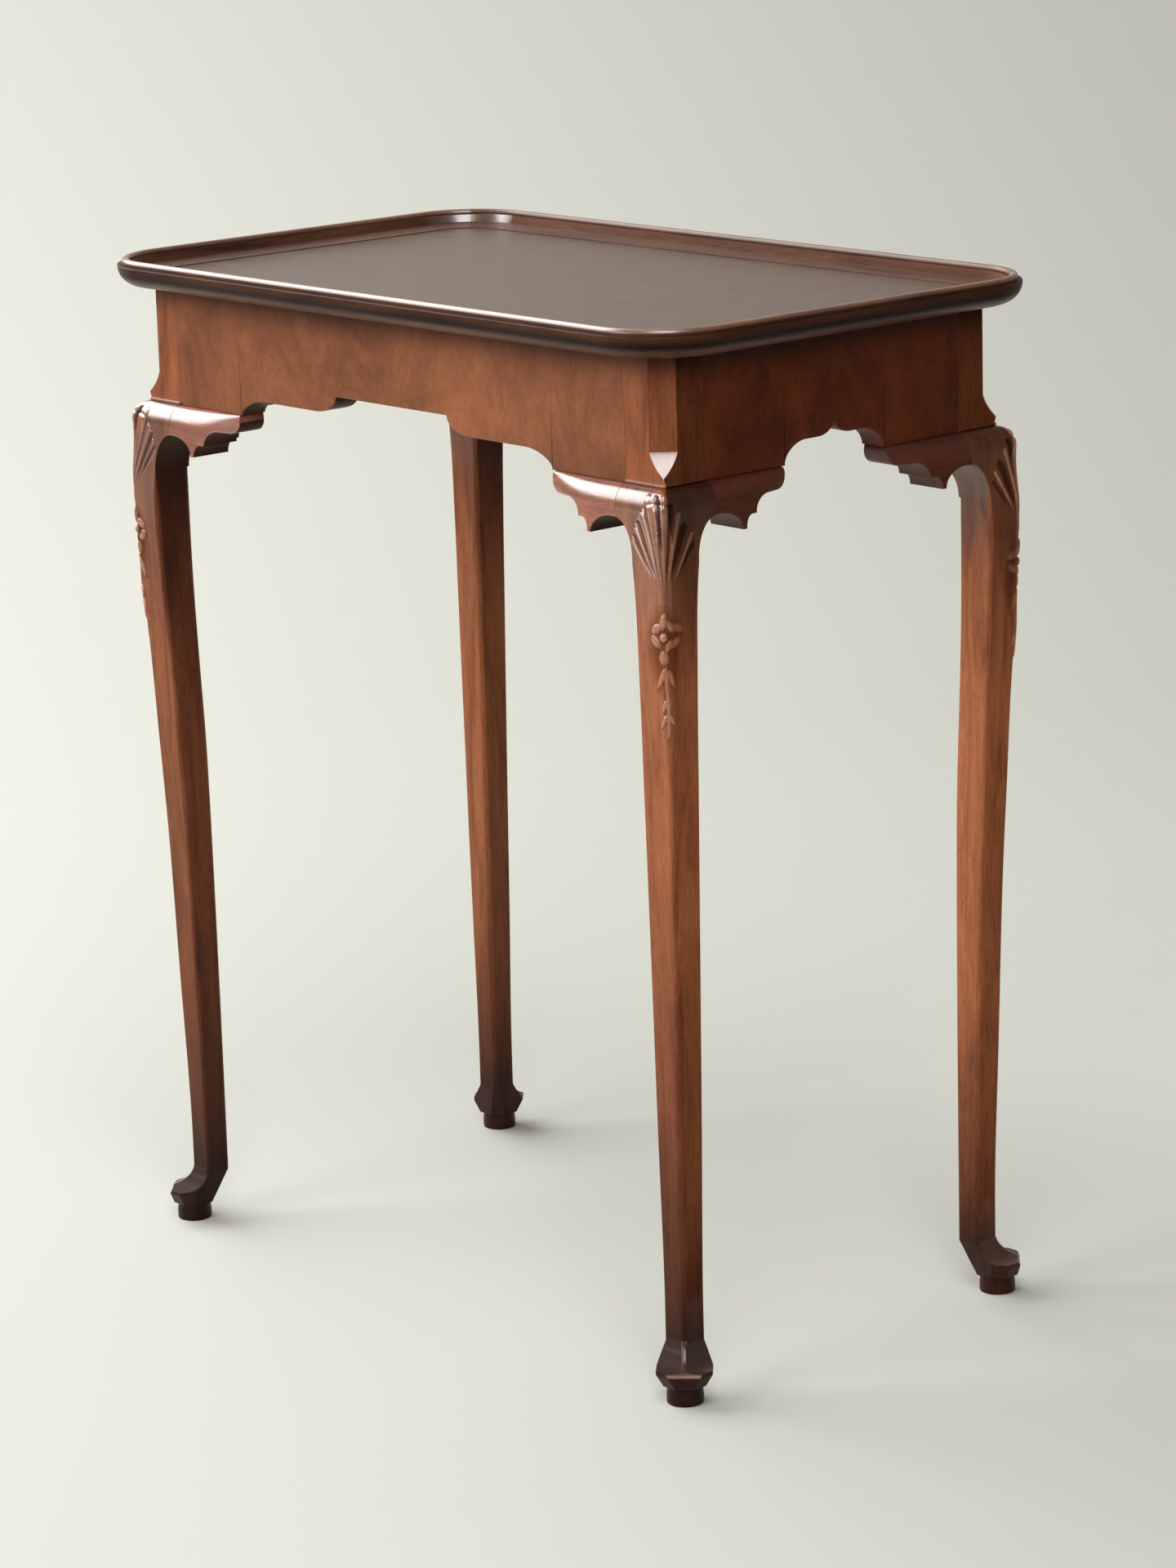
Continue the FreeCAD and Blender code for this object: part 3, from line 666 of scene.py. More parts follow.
# Painted shade on the chamfer of the post.
leg_tone[np.ix_(leg_rows > tongue_top, arris)] *= chamfer_shade_tone
# Painted highlight on the arris over the scoops and under the stops.
leg_tone[np.ix_(on_scoop | under_stop, arris)] *= arris_highlight_tone
leg_tone[np.ix_(on_toe_edge, arris)] = toe_edge_tone
print("tones from", leg_tone.min().round(2), "to", leg_tone.max().round(2))

# %% Polish of the leg
dull = 0.08
height_polish = [(0, dull), (toe_top, dull), (toe_top + 1, 0.03), (scoop_top - 10, 0.03),
                 (scoop_top - 7, 0.16), (scoop_top - 3, 0.16), (scoop_top, dull), (440, dull),
                 (515, 0.2), (560, 0.6), (585, 1.0), (knee_top, 1.0), (knee_top + 1, 0.25),
                 (knee_top + 4, dull)]
scoop_polish = [(toe_top, 0.4), (toe_top + 4, 0.9), (scoop_top - 8, 0.9), (scoop_top - 2, dull)]
soffit_polish = [(500, dull), (560, 0.4), (arch_top, 0.6)]
cut_polish = [(-0.7, 0.2), (-0.15, 1.0)]
carved_polish = 0.6
rib_polish = 0.9
end_polish = 0.3
scoop_arris_polish = 0.5
toe_edge_polish = 0.45

leg_polish = np.where(on_outside > 0, by_height(height_polish), dull)
leg_polish += carved_polish * np.clip(leg_relief, 0, 1) * (leg_rows < fan_root)[:, None]
leg_polish[np.ix_(leg_rows > ankle, end_face)] *= end_polish
leg_polish = np.maximum(leg_polish, rib_polish * on_rib)
leg_polish *= through(leg_relief, cut_polish)
leg_polish[:, soffit_weight > 0] = by_height(soffit_polish)
leg_polish[np.ix_(on_scoop, end_face)] = by_height(scoop_polish)[on_scoop]
leg_polish[np.ix_(on_scoop, arris)] = scoop_arris_polish
leg_polish[np.ix_(on_toe_edge, arris)] = toe_edge_polish
leg_polish[np.ix_(on_stop, arris)] = 1
print("polish from", leg_polish.min().round(2), "to", leg_polish.max().round(2))

# %% Carved and padded leg
pad_flare = 0.8
pad_soft = 0.9
pad_soft_middle = 0.25
tiny = 1e-9


def pushed_out(points, amount):
    """Moves a grid of points along its outward normals: the cross product of its two directions."""
    down = np.gradient(points, axis=0)
    round_ring = np.roll(points, -1, axis=1) - np.roll(points, 1, axis=1)
    normal = np.cross(down, round_ring)
    normal /= np.maximum(np.linalg.norm(normal, axis=-1, keepdims=True), tiny)
    return points + normal * amount[..., None]


def pad_rings(sole):
    """The turned pad: rings of a circle, pointing from its middle as the points of the sole do."""
    ray = sole - pad_inset
    ray /= np.linalg.norm(ray, axis=-1, keepdims=True)
    radius = pad_radius - np.array((pad_flare, 0, 0, pad_soft_middle, pad_soft))
    height = np.array((pad_height, pad_height / 2, pad_soft, pad_soft_middle, 0))
    flat = pad_inset + radius[:, None, None] * ray[None]
    return np.concatenate((flat, np.broadcast_to(height[:, None, None], flat.shape[:2] + (1,))), axis=-1)


plain_leg = np.concatenate((leg_rings, height_row[..., None]), axis=-1)
leg_pad = pad_rings(leg_rings[-1])
leg_grid = np.concatenate((pushed_out(plain_leg, leg_relief), leg_pad))
leg_tones = np.concatenate((leg_tone, np.full(leg_pad.shape[:2], height_tones[0][1])))
leg_polishes = np.concatenate((leg_polish, np.full(leg_pad.shape[:2], dull)))
print("points of a leg", leg_grid[..., 0].size)

# %% [markdown]
# ### Four legs, each with its own painted light and shade
# The four legs are one shape, mirrored to the corners. The light falls on each of them in its own
# way, and their wood differs too, so each gets its own tone: painted light and shade together with
# the wood's own colour. It is given at a few heights, once for the faces along the table's long
# sides and once for the faces at its ends.

# %% One leg at each corner
corners = [("front_left", -1, -1), ("front_right", 1, -1), ("back_left", -1, 1), ("back_right", 1, 1)]
# Painted light and shade for each leg, together with its wood's own tone, as multipliers at heights.
leg_light_and_wood_shades = {
    "front_left": ([(50, 0.63), (160, 0.7), (470, 0.7), (550, 0.6), (600, 0.85)],
                   [(50, 0.66), (330, 0.74), (380, 0.64), (440, 0.48), (540, 0.5), (600, 1.0)]),
    "front_right": ([(45, 0.7), (100, 0.6), (200, 0.77), (340, 1.0)],
                    [(45, 0.75), (100, 1.0), (390, 1.1), (450, 0.9), (540, 1.0)]),
    "back_left": ([(105, 0.97), (200, 1.22), (290, 1.08), (410, 0.85), (540, 0.67), (600, 1.0)],
                  [(105, 1.4), (290, 1.25), (410, 1.2), (480, 0.95), (540, 0.86), (600, 1.0)]),
    "back_right": ([(106, 1.05), (220, 1.2), (340, 1.4), (450, 1.22), (540, 1.35), (600, 1.0)],
                   [(50, 1.7), (160, 1.5), (280, 1.08), (390, 1.2), (450, 0.94), (530, 0.7), (575, 1.7),
                    (600, 2.4)])}
run_ends = np.cumsum((0, outer_steps, face_steps, corner_steps, inner_steps,
                      corner_steps, inner_steps, corner_steps, face_steps))
long_side_weight = np.interp(column, run_ends, (0, 1, 1, 0, 0, 1, 1, 0, 0))


def leg_light_and_wood_shade(height, name):
    """Painted light, shade and wood tone under the post: one list for long-side faces, one for ends."""
    long_side, end = (through(height, knots) for knots in leg_light_and_wood_shades[name])
    return np.where(height > knee_top, 1, mixed(end, long_side, long_side_weight))


def at_corner(points, sign_x, sign_y):
    """Turns (a, b, height) points, measured inwards from a corner, into points of the table."""
    a, b, height = (points[..., k] for k in range(3))
    return np.stack((sign_x * (frame_x - a), sign_y * (frame_y - b), height), axis=-1)


legs = []
for name, sign_x, sign_y in corners:
    light_and_wood_tones = leg_tones * leg_light_and_wood_shade(leg_grid[..., 2], name)
    legs.append(skin_from_rings("carved_leg_" + name, at_corner(leg_grid, sign_x, sign_y), "leg_" + name,
                                light_and_wood_tones, leg_polishes))
print("legs", len(legs), "faces each", len(legs[0].data.polygons))

# %% [markdown]
# ## Boards with a sawn lower edge
# The knee brackets and the aprons are both boards whose lower edge is sawn to an outline of bends
# and short straights. A maker would saw it with a narrow blade and scrape it, so its front arris is
# a little round. Both are stacks of upright slices that follow the outline: down the front, round
# the arris, back along the underside and up the back.

# %% Sawn edges and their slices
board_thickness = 20.0
edge_round = 0.8
edge_sweep = np.linspace(0, math.pi / 2, 6)[1:]


def sawn_edge(first, bends, last, straight_steps):
    """Chains (start, corner, end, share, steps) bends with straights, from a first to a last point."""
    runs = []
    for (start, corner, end, share, steps), straight in zip(bends, straight_steps):
        runs.append(np.linspace(first, start, straight + 1)[:-1])
        runs.append(bend(start, corner, end, share, steps)[0][:-1])
        first = end
    return np.concatenate(runs + [np.linspace(first, last, straight_steps[-1] + 1)])


def into_wood(path):
    """Unit normals of an (along, height) path: a quarter turn from its direction, up on the whole."""
    step = np.gradient(path, axis=0)
    normal = np.stack((-step[:, 1], step[:, 0]), axis=-1)
    normal /= np.maximum(np.linalg.norm(normal, axis=1, keepdims=True), tiny)
    return normal * np.sign(step[:, 0].sum())


def sawn_slices(path, top, down, front):
    """Slices of (along, out, height) for a board over a sawn (along, height) path.

    The front runs from the top to the path's inset at the shares in down, and stands out by the
    function front of place and height. The arris is a quarter round of edge_round.
    """
    inward = into_wood(path) * edge_round
    inset = path + inward
    inset[:, 1] = np.minimum(inset[:, 1], top)
    along = path[:, :1] + (inset - path)[:, :1] * down
    height = top[:, None] + (inset[:, 1] - top)[:, None] * down
    out = front(along, height)
    edge = path[:, None] + inward[:, None] * (1 - np.sin(edge_sweep))[None, :, None]
    edge_out = out[:, -1:] - edge_round * (1 - np.cos(edge_sweep))

    def back_at(height):
        """The slices' points at the back of the board, at a height."""
        return np.stack((path[:, 0], np.full(len(path), -board_thickness), height), axis=-1)[:, None]

    return np.concatenate((back_at(top), np.stack((along, out, height), axis=-1),
                           np.stack((edge[..., 0], edge_out, edge[..., 1]), axis=-1),
                           back_at(path[:, 1])), axis=1)


print("points round an arris", len(edge_sweep))

# %% [markdown]
# ## Knee brackets
# Beside each knee a bracket sits under the apron. Its round top carries on the knee's, it grows
# thinner towards its nose, and its lower edge is sawn to a nose, two hollow steps, a narrow tip
# and half of an arch. How far its front stands out is a function of the place along the apron and
# the height. The brackets along the long sides shine, and those at the ends are duller. The
# undersides of the long ones are painted dark, as shade, and the ones at the ends get a much
# darker copy of the wood, as painted shade.

# %% Outline and front of a bracket
bracket_length = 102.5
nose_depth, nose_end, nose_round = 5.0, 94.0, 1.5
belly_depth = 13.2
scoop_start, scoop_end, scoop_depth = 83.0, 70.5, 24.0
step_start = 66.5
tip_start, tip_end, tip_depth = 60.5, 57.5, 32.5
crown_place, crown_depth = 38.0, 20.0
bracket_plan = [(0, 12.0), (0.35, 11.3), (0.72, 7.8), (1, 2.0)]
bracket_tuck = 1.6
tuck_depth = 0.05
slope_drop = 22.5
quirk_depth = 0.5

bracket_bends = [
    ((bracket_length, nose_depth), (bracket_length, belly_depth), (nose_end, belly_depth), round_share, 14),
    ((scoop_start, belly_depth), (scoop_end, belly_depth), (scoop_end, scoop_depth), round_share, 14),
    ((step_start, scoop_depth), (tip_start, scoop_depth), (tip_start, tip_depth), round_share, 14),
    ((tip_end, tip_depth), (tip_end, crown_depth), (crown_place, crown_depth), round_share, 18)]


def bracket_front(along, height):
    """How far the front stands out: a quarter round above, a slight slope below, less at the nose."""
    full = eased(way(post_width, bracket_length, along), bracket_plan)
    round_out = full * knee_round / bracket_plan[0][1]
    swell = round_out * (1 - quarter_round(way(knee_top - knee_round_drop, knee_top, height)))
    slope_top = knee_top - knee_round_drop
    slope = (full - round_out) * way(slope_top, slope_top - slope_drop, height)
    tuck = tuck_depth * way(post_width, post_width - bracket_tuck, along)
    quirk = quirk_depth * np.exp(-((knee_top - height) / quirk_depth) ** 2)
    return swell + slope - tuck - quirk


bracket_edge = sawn_edge((bracket_length, nose_depth), bracket_bends,
                         (post_width - bracket_tuck, crown_depth), (0, 6, 3, 3, 4))
print("points of the sawn edge", len(bracket_edge))

# %% Eight brackets
long_bracket_polish = [(knee_top - 22, 0.55), (knee_top - 12, 1.0)]
end_bracket_polish = [(knee_top - 16, 0.1), (knee_top - 3, 0.38)]
end_under_polish = 0.18
# Painted shade: the undersides of the long brackets and of the long aprons are painted dark.
painted_underside_shade = 0.15
# Points lie closer together near the top, where the front is round.
top_crowding = 1.6
front_shares = np.linspace(0, 1, 25) ** top_crowding

bracket_path = np.stack((bracket_edge[:, 0], knee_top - bracket_edge[:, 1]), axis=-1)
nose = way(bracket_length - nose_round, bracket_length, bracket_path[:, 0])
bracket_top = knee_top - nose_depth * quarter_round(nose)
bracket_grid = sawn_slices(bracket_path, bracket_top, front_shares, bracket_front) * (1, -1, 1)
underside = [-2, -1]
long_tone = np.ones(bracket_grid.shape[:2])
long_tone[:, underside] = painted_underside_shade
long_polish = through(bracket_grid[..., 2], long_bracket_polish)
long_polish[:, [0] + underside] = dull
short_polish = through(bracket_grid[..., 2], end_bracket_polish)
short_polish[:, underside] = end_under_polish
brackets = []
for name, sign_x, sign_y in corners:
    row, end = name.split("_")
    for node, grid, tone, polish in (
            ("knee_bracket_" + row + "_" + end, bracket_grid, long_tone, long_polish),
            ("knee_bracket_" + end + "_" + row, bracket_grid[..., [1, 0, 2]], 1, short_polish)):
        brackets.append(skin_from_rings("shaped_" + node, at_corner(grid, sign_x, sign_y), node,
                                        tone, polish))
print("brackets", len(brackets), "faces each", len(brackets[0].data.polygons))

# %% [markdown]
# ## Aprons
# Each apron is a board whose lower edge is sawn to a centre, two round lobes and two hollow
# shoulders that run into the brackets. The centre is flat on the long sides and a point on the
# short ones. The front has many points, although it is flat, so that its shading stays even. The
# shadow of the rim lies along its top, and a painted shade darkens it a little towards one end.
# The long aprons' undersides are painted dark, as shade. The short aprons are darker wood, and
# darker still with painted shade.

# %% Sawn edges of the aprons
apron_end_depth = tray_under - knee_top
bracket_gap = 1.5
# On the short sides the centre is a point. Its points still need places of their own.
least_centre = 0.01
flat_steps = 12


def scallop(corner_reach, centre_depth, lobe_depth, centre_share, lobe_share, shoulder_share, hollow_share):
    """The sawn edge as (along, height) points from one post to the other: one half, then mirrored.

    The centre, the lobe and the shoulder are shares of the stretch from the middle to the bracket.
    hollow_share is the share of the shoulder's bend.
    """
    flat = corner_reach - bracket_length - bracket_gap
    centre = flat * centre_share
    lobe = centre + flat * lobe_share
    hollow = flat - flat * shoulder_share
    centre_end = (max(centre, least_centre), centre_depth)
    centre_run = np.linspace((0, centre_depth), centre_end, flat_steps + 1)[:-1]
    outer_run = sawn_edge((centre, centre_depth), [
        ((centre, centre_depth), (centre, lobe_depth), (lobe, lobe_depth), round_share, 18),
        ((hollow, lobe_depth), (flat, lobe_depth), (flat, apron_end_depth), hollow_share, 18),
    ], (corner_reach - post_width, apron_end_depth), (0, flat_steps, 16))
    half = np.concatenate((centre_run, outer_run))
    whole = np.concatenate((half[:0:-1] * (-1, 1), half))
    return whole * (1, -1) + (0, tray_under)


long_edge = scallop(frame_x, centre_depth=58.5, lobe_depth=70.3, centre_share=0.356, lobe_share=0.144,
                    shoulder_share=0.163, hollow_share=0.45)
short_edge = scallop(frame_y, centre_depth=57.0, lobe_depth=67.5, centre_share=0.0, lobe_share=0.318,
                     shoulder_share=0.432, hollow_share=0.5)
print("points of the long and the short edge", len(long_edge), len(short_edge))

# %% Four aprons
sides = ("front", "right", "back", "left")
# Painted shade that darkens each apron a little towards one end.
apron_shade_fades = {"front": (0.9, 1.0), "right": (1.0, 0.72), "back": (1.0, 0.9), "left": (0.72, 1.0)}
apron_shares = np.linspace(0, 1, 15)


def quarter_turned(points, turns):
    """Turns points about the table's upright middle line by quarter turns."""
    for _ in range(turns):
        points = np.stack((-points[..., 1], points[..., 0], points[..., 2]), axis=-1)
    return points


def flat_front(along, height):
    """The face of an apron: it stands out by nothing."""
    return np.zeros_like(along)


aprons = []
for turns, name in enumerate(sides):
    path, distance = ((long_edge, frame_y), (short_edge, frame_x))[turns % 2]
    slices = sawn_slices(path, np.full(len(path), tray_under), apron_shares, flat_front)
    rings = quarter_turned(slices * (1, -1, 1) - (0, distance, 0), turns)
    along = rings[..., turns % 2]
    apron_tone = through(rings[..., 2], rim_shadow)
    apron_tone *= np.interp(along, (along.min(), along.max()), apron_shade_fades[name])
    # The long aprons' undersides get the painted shade.
    if turns % 2 == 0:
        apron_tone[:, underside] = painted_underside_shade
    aprons.append(skin_from_rings("sawn_apron_" + name, rings, "apron_" + name,
                                  apron_tone, dull))
print("aprons", len(aprons), "faces", [len(piece.data.polygons) for piece in aprons])

# %% [markdown]
# ## Tray rim
# The rim is a moulding in four lengths, mitred in the middle of each rounded corner: a round
# ovolo below, a quirk, a round bead on top, a small fillet, a wall that leans back and a cove down
# to the board. A moulding is a profile carried along a path, so the profile is drawn once, from
# arcs and short straights, and swept along the straight side and half of the corner at both ends.
# Its bead is painted lighter, as a highlight, and polished bright, both less so at the back. The
# upper ovolo is painted darker, as shade, with a dark line painted in the quirk. Its inner wall is
# dull but for the back left corner, which mirrors the lamps as two white glints.

# %% Profile of the rim
tray_height = 19.0
rim_width = 31.0
rabbet = 18.0
lap_height = 5.0
ovolo = 13.7
shoulder = 14.6
shoulder_lip = 0.9
quirk_back, quirk_drop = 0.3, 0.25
bead_start, bead_end = 2.8, 8.8
bead_spring = 16.0
fillet_end = 10.2
fillet_top = 15.6
wall_foot = 12.8
cove_top = 10.4
cove_foot = 8.6
cove_corner = (wall_foot + 4.0, cove_foot + 0.7)
cove_share = 0.62
soft_corner = 0.35


def softened(before, corner, after, radius, steps=4):
    """Two straights whose corner is a bend of the given size."""
    before, corner, after = (np.array(point, float) for point in (before, corner, after))
    start = corner + (before - corner) * radius / np.linalg.norm(before - corner)
    end = corner + (after - corner) * radius / np.linalg.norm(after - corner)
    return np.concatenate(([before], bend(start, corner, end, round_share, steps)[0], [after]))


def rim_profile():
    """The moulding as (inset from the edge, height over the underside) points, outer foot first."""
    half_turn = np.linspace(math.pi, 0, 22)
    bead_middle = (bead_start + bead_end) / 2
    bead_radius = (bead_end - bead_start) / 2
    bead = np.stack((bead_middle + bead_radius * np.cos(half_turn),
                     bead_spring + bead_radius * np.sin(half_turn)), axis=-1)
    return np.concatenate((
        bend((ovolo, 0), (0, 0), (0, ovolo), round_share, 24)[0],
        bend((0, ovolo), (0, shoulder), (shoulder_lip, shoulder), round_share, 5)[0][1:],
        [(bead_start - quirk_back, shoulder - quirk_drop)], bead,
        softened((bead_end, fillet_top), (fillet_end, fillet_top), (wall_foot, cove_top), soft_corner),
        bend((wall_foot, cove_top), cove_corner, (rim_width, cove_foot), cove_share, 20)[0][1:],
        [(rim_width, lap_height), (rabbet, lap_height), (rabbet, 0)]))


rim_section = rim_profile()
print("points of the moulding", len(rim_section))

# %% Tone and polish across the rim
# Painted highlight on the top of the bead and painted shade on the upper ovolo.
rim_highlight_and_shade_tones = [(4, 1.0), (9, 0.5), (bead_spring, 0.8), (tray_height, 2.8)]
rim_polishes = [(3, 0.15), (8, dull / 2), (bead_spring, dull / 2), (bead_spring + 2, 0.9)]
quirk_middle, quirk_spread, quirk_top = 1.4, 1.1, bead_spring + 0.5
# A dark line painted in the quirk, as shade.
quirk_painted_shade = 0.75
cove_polish = 0.45
wall_polish = dull / 2
# The bead's painted highlight is weaker at the back.
back_bead_highlight_share = 0.6
back_rim_polish = 0.3

rim_inset, rim_height = rim_section.T
in_quirk = np.exp(-((rim_inset - quirk_middle) / quirk_spread) ** 2) * (rim_height < quirk_top)
in_cove = rim_inset > fillet_end
on_wall = (rim_inset > fillet_end - soft_corner) & (rim_inset < wall_foot + soft_corner)
on_bead = rim_height > bead_spring
rim_highlight_and_shade = np.where(in_cove, 1, through(rim_height, rim_highlight_and_shade_tones) * (1 - quirk_painted_shade * in_quirk))
rim_polish = np.where(in_cove, cove_polish, through(rim_height, rim_polishes))
rim_polish[on_wall] = wall_polish
print("points on the inner wall", on_wall.sum())

# %% Four mitred lengths
corner_radius = 56.0
corner_points, side_points = 16, 40
corner_ease = math.radians(14)
# The end of a side that lies in the back left corner: 1 where it is the last end, -1 the first.
glint_ends = {"back": 1, "left": -1}
arc = np.linspace(0, math.pi / 4, corner_points)[1:]
rim_turn = np.concatenate((-arc[::-1], np.zeros(side_points), arc))


def rim_rings(length_half, depth_half):
    """The profile along a side at -depth_half, and round half of the corner at each end."""
    run = length_half - corner_radius
    straight = np.linspace(-run, run, side_points)
    middle = np.concatenate((np.full(len(arc), -run), straight, np.full(len(arc), run)))
    reach = corner_radius - rim_inset[None]
    return np.stack((middle[:, None] + reach * np.sin(rim_turn)[:, None],
                     corner_radius - depth_half - reach * np.cos(rim_turn)[:, None],
                     np.broadcast_to(tray_under + rim_height, (len(rim_turn), len(rim_height)))), axis=-1)


rims = []
for turns, name in enumerate(sides):
    length_half, depth_half = ((tray_x, tray_y), (tray_y, tray_x))[turns % 2]
    rings = quarter_turned(rim_rings(length_half, depth_half), turns)
    at_back = name == "back"
    side_highlight_and_shade = rim_highlight_and_shade * np.where(on_bead & at_back, back_bead_highlight_share, 1)
    side_polish = rim_polish * (back_rim_polish if at_back else 1)
    in_glint = np.clip(glint_ends.get(name, 0) * rim_turn / corner_ease, 0, 1)[:, None] * on_wall
    rims.append(skin_from_rings("moulded_rim_" + name, rings, "tray_rim_" + name, side_highlight_and_shade,
                                mixed(side_polish, 1, in_glint)))
print("rims", len(rims), "faces each", len(rims[0].data.polygons))

# %% [markdown]
# ## Old polished mahogany
# The wood is a red-brown mahogany, rubbed with wax for many years. Seen close it has long fibres
# and short dark pores along the grain, and from further off broader light and dark figure. An
# image would fix the grain on one view, so noise is stretched along each piece's grain instead,
# on Object coordinates. The polish is one layer of shine: more polish means that the wood mirrors
# more strongly and more sharply. A function mixes the layers, and each kind of piece gives it its
# own grain and colours.

# %% Node helpers
def ramp(tree, factor, stops):
    """A colour ramp through (place, colour) stops."""
    node = link_node(tree, "ShaderNodeValToRGB", {"Fac": factor})
    elements = node.color_ramp.elements
    while len(elements) < len(stops):
        elements.new(0.5)
    for element, (place, colour) in zip(elements, stops):
        element.position = place
        element.color = (*colour, 1)
    return node.outputs["Color"]


def stretched_noise(tree, coordinates, scale, detail=4.0, roughness=0.6, distortion=0.0):
    """Noise whose grain is longer along the axes with a smaller scale."""
    mapping = link_node(tree, "ShaderNodeMapping", {"Vector": coordinates, "Scale": scale})
    noise = link_node(tree, "ShaderNodeTexNoise", {
        "Vector": mapping.outputs["Vector"], "Scale": 1.0, "Detail": detail, "Roughness": roughness,
        "Distortion": distortion})
    return noise.outputs["Fac"]


def multiplied(tree, first, second, amount=1.0):
    """Two colours multiplied, by an amount between none and all of the second."""
    mix = link_node(tree, "ShaderNodeMix", {0: amount, 6: first, 7: second}, data_type="RGBA",
                    blend_type="MULTIPLY")
    return mix.outputs[2]


def ranged(tree, value, low, high):
    """A value between 0 and 1, carried over to the range from low to high."""
    node = link_node(tree, "ShaderNodeMapRange", {"Value": value, "To Min": low, "To Max": high})
    return node.outputs["Result"]


def grey(level):
    """A colour with red, green and blue at one level."""
    return (level, level, level)


print("node helpers ready")

# %% Mahogany
grain_scales = {"x": (1.0, 9.0, 9.0), "y": (9.0, 1.0, 9.0), "z": (9.0, 9.0, 1.0), "mottled": (2.6, 2.6, 1.7)}
figure_scale, fibre_scale, pore_scale = 9, 70, 190
pore_depth = 0.7
polish_ior = 1.9
full_shine = 0.85
dull_rough = 0.42
polished_rough = 0.24


def mahogany(name, grain, light, mid, dark, contrast=1.0, streaks=None, shine=None):
    """Polished wood with its fibres along an axis. streaks is the scale of a second, soft figure.

    Tone and polish are read from the mesh, unless shine gives one polish for the whole piece.
    """
    material, tree, shader = new_finish(name)
    coordinates = link_node(tree, "ShaderNodeTexCoord").outputs["Object"]
    lengthwise = np.array(grain_scales[grain])
    figure = stretched_noise(tree, coordinates, tuple(lengthwise * figure_scale), 5.0, 0.62, 0.8)
    fibre = stretched_noise(tree, coordinates, tuple(lengthwise * fibre_scale), 3.0, 0.6)
    pores = stretched_noise(tree, coordinates, tuple(lengthwise * pore_scale), 2.0, 0.5)
    colour = ramp(tree, figure, [(0.28, dark), (0.48, mid), (0.70, light)])
    if streaks:
        bands = stretched_noise(tree, coordinates, streaks, 3.0, 0.5, 0.6)
        soft_figure = ramp(tree, bands, [(0.34, grey(0.78)), (0.5, grey(1)), (0.66, grey(1.2))])
        colour = multiplied(tree, colour, soft_figure)
    long_fibres = ramp(tree, fibre, [(0.25, grey(0.80)), (0.6, grey(1.08))])
    dark_pores = ramp(tree, pores, [(0.30, (0.55, 0.45, 0.40)), (0.42, grey(1))])
    colour = multiplied(tree, colour, long_fibres, contrast)
    colour = multiplied(tree, colour, dark_pores, pore_depth * contrast)
    if shine is None:
        tone = link_node(tree, "ShaderNodeAttribute", attribute_name="tone").outputs["Color"]
        colour = multiplied(tree, colour, tone)
        polish = link_node(tree, "ShaderNodeAttribute", attribute_name="polish").outputs["Fac"]
        tree.links.new(ranged(tree, polish, 0, full_shine), shader.inputs["Specular IOR Level"])
        tree.links.new(ranged(tree, polish, dull_rough, polished_rough), shader.inputs["Roughness"])
    else:
        shader.inputs["Specular IOR Level"].default_value = shine * full_shine
        tree.links.new(ranged(tree, figure, polished_rough, dull_rough), shader.inputs["Roughness"])
    tree.links.new(colour, shader.inputs["Base Color"])
    bump = link_node(tree, "ShaderNodeBump", {"Strength": 0.12, "Distance": 0.0004, "Height": fibre})
    tree.links.new(bump.outputs["Normal"], shader.inputs["Normal"])
    shader.inputs["IOR"].default_value = polish_ior
    return material


leg_wood = mahogany("leg_mahogany", "z", (0.36, 0.118, 0.046), (0.26, 0.080, 0.030), (0.15, 0.040, 0.015))
front_bracket_wood = mahogany("front_bracket_mahogany", "x", (0.35, 0.116, 0.066), (0.255, 0.078, 0.043),
                              (0.13, 0.038, 0.02))
# The brackets at the ends get a much darker copy of the wood: painted shade.
shaded_end_bracket_wood = mahogany("shaded_end_bracket_mahogany", "y", (0.11, 0.026, 0.012), (0.078, 0.017, 0.0075),
                            (0.04, 0.009, 0.004))
long_apron_wood = mahogany("long_apron_mahogany", "mottled", (0.265, 0.091, 0.037), (0.20, 0.066, 0.027),
                           (0.13, 0.041, 0.016), contrast=0.7, streaks=(8, 8, 12))
# The short aprons are darker wood, and darker still with painted shade.
dark_and_shaded_short_apron_wood = mahogany("dark_and_shaded_short_apron_mahogany", "mottled", (0.17, 0.036, 0.007), (0.12, 0.022, 0.004),
                            (0.075, 0.012, 0.003), contrast=0.7, streaks=(8, 8, 12))
rim_wood = {axis: mahogany("rim_mahogany_" + axis, axis, (0.12, 0.05, 0.028), (0.085, 0.034, 0.019),
                           (0.045, 0.017, 0.010)) for axis in "xy"}
top_wood = mahogany("tray_mahogany", "x", (0.105, 0.046, 0.028), (0.08, 0.034, 0.021), (0.05, 0.021, 0.013),
                    shine=0.33)
print("woods", [material.name for material in bpy.data.materials if "mahogany" in material.name])

# %% [markdown]
# ## Wood and steel that stay out of sight
# Under the tray, pale softwood blocks and dull steel screws hold the board to the frame. They are
# plain solids, so they keep their own meshes and only get a finish: pine with wide growth bands,
# and grey steel with fine scratches.

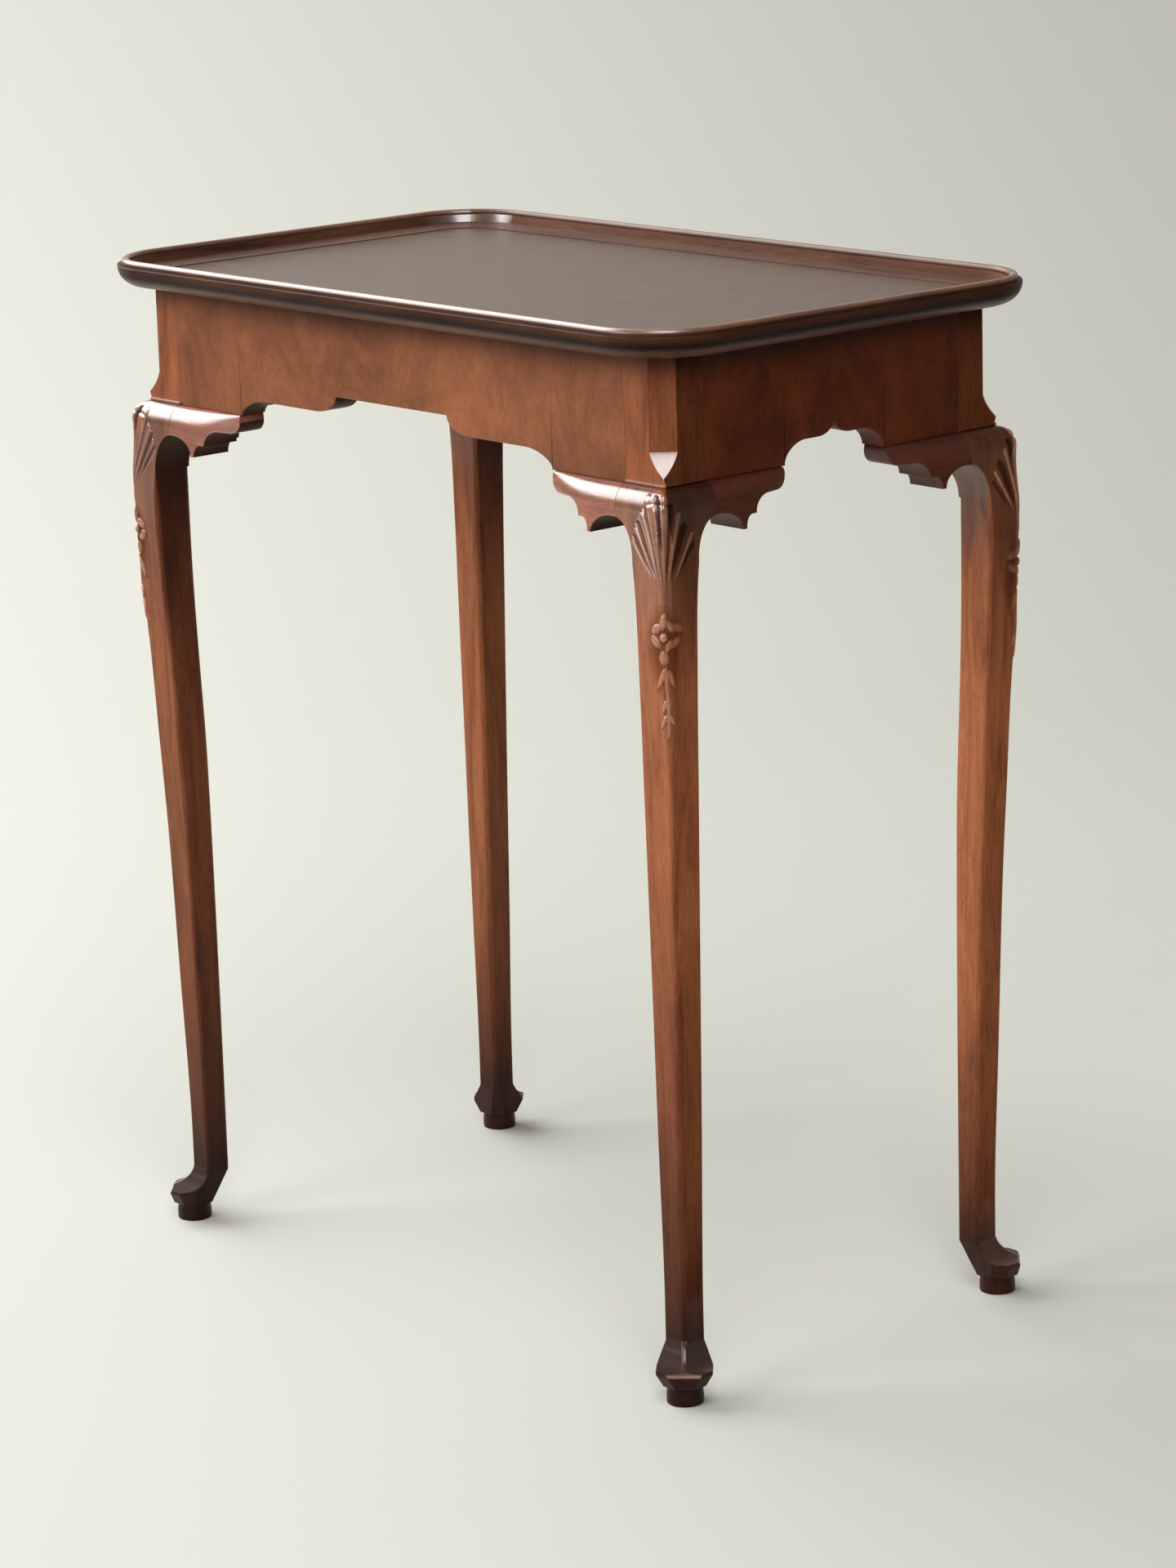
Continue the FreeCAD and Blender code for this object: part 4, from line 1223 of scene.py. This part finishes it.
# %% Softwood blocks and steel screws
def softwood(name):
    """Sawn pine: bands of early and late wood from a wave, and a rough dry surface."""
    material, tree, shader = new_finish(name)
    coordinates = link_node(tree, "ShaderNodeTexCoord").outputs["Object"]
    rings = link_node(tree, "ShaderNodeTexWave", {
        "Vector": coordinates, "Scale": 55.0, "Distortion": 3.0, "Detail": 2.0}, bands_direction="Z")
    fibre = stretched_noise(tree, coordinates, (60, 60, 900), 3.0)
    colour = ramp(tree, rings.outputs["Fac"], [(0.2, (0.42, 0.27, 0.14)), (0.8, (0.30, 0.17, 0.08))])
    colour = multiplied(tree, colour, ramp(tree, fibre, [(0.3, grey(0.75)), (0.6, grey(1.05))]))
    tree.links.new(colour, shader.inputs["Base Color"])
    shader.inputs["Roughness"].default_value = 0.75
    return material


def dull_steel(name):
    """Grey steel whose colour and roughness vary with fine scratches."""
    material, tree, shader = new_finish(name)
    coordinates = link_node(tree, "ShaderNodeTexCoord").outputs["Object"]
    scratches = stretched_noise(tree, coordinates, (2400, 300, 300), 3.0)
    colour = ramp(tree, scratches, [(0.3, (0.22, 0.21, 0.2)), (0.7, (0.42, 0.41, 0.39))])
    rough = ramp(tree, scratches, [(0.3, grey(0.35)), (0.7, grey(0.6))])
    tree.links.new(colour, shader.inputs["Base Color"])
    tree.links.new(rough, shader.inputs["Roughness"])
    shader.inputs["Metallic"].default_value = 1.0
    return material


pine = softwood("block_pine")
steel = dull_steel("dull_screw_steel")
print("hidden finishes", pine.name, steel.name)


# %% Give every piece its finish
def finish_with(piece, material):
    """Makes a material the only one of a piece."""
    piece.data.materials.clear()
    piece.data.materials.append(material)


for piece in legs:
    finish_with(piece, leg_wood)
# The brackets at the ends take the copy painted darker, as shade.
for piece in brackets:
    along_x = piece.name.startswith(("shaped_knee_bracket_front", "shaped_knee_bracket_back"))
    finish_with(piece, front_bracket_wood if along_x else shaded_end_bracket_wood)
# The short aprons take the wood that is darker and also painted with shade.
for turns, (apron, rim) in enumerate(zip(aprons, rims)):
    finish_with(apron, (long_apron_wood, dark_and_shaded_short_apron_wood)[turns % 2])
    finish_with(rim, rim_wood["xy"[turns % 2]])
for node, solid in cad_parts.items():
    if node.startswith("fixing_block"):
        finish_with(solid, pine)
finish_with(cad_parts["fixing_screws"], steel)
finish_with(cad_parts["tray_panel"], top_wood)
print("finished pieces", len(legs) + len(brackets) + len(aprons) + len(rims))
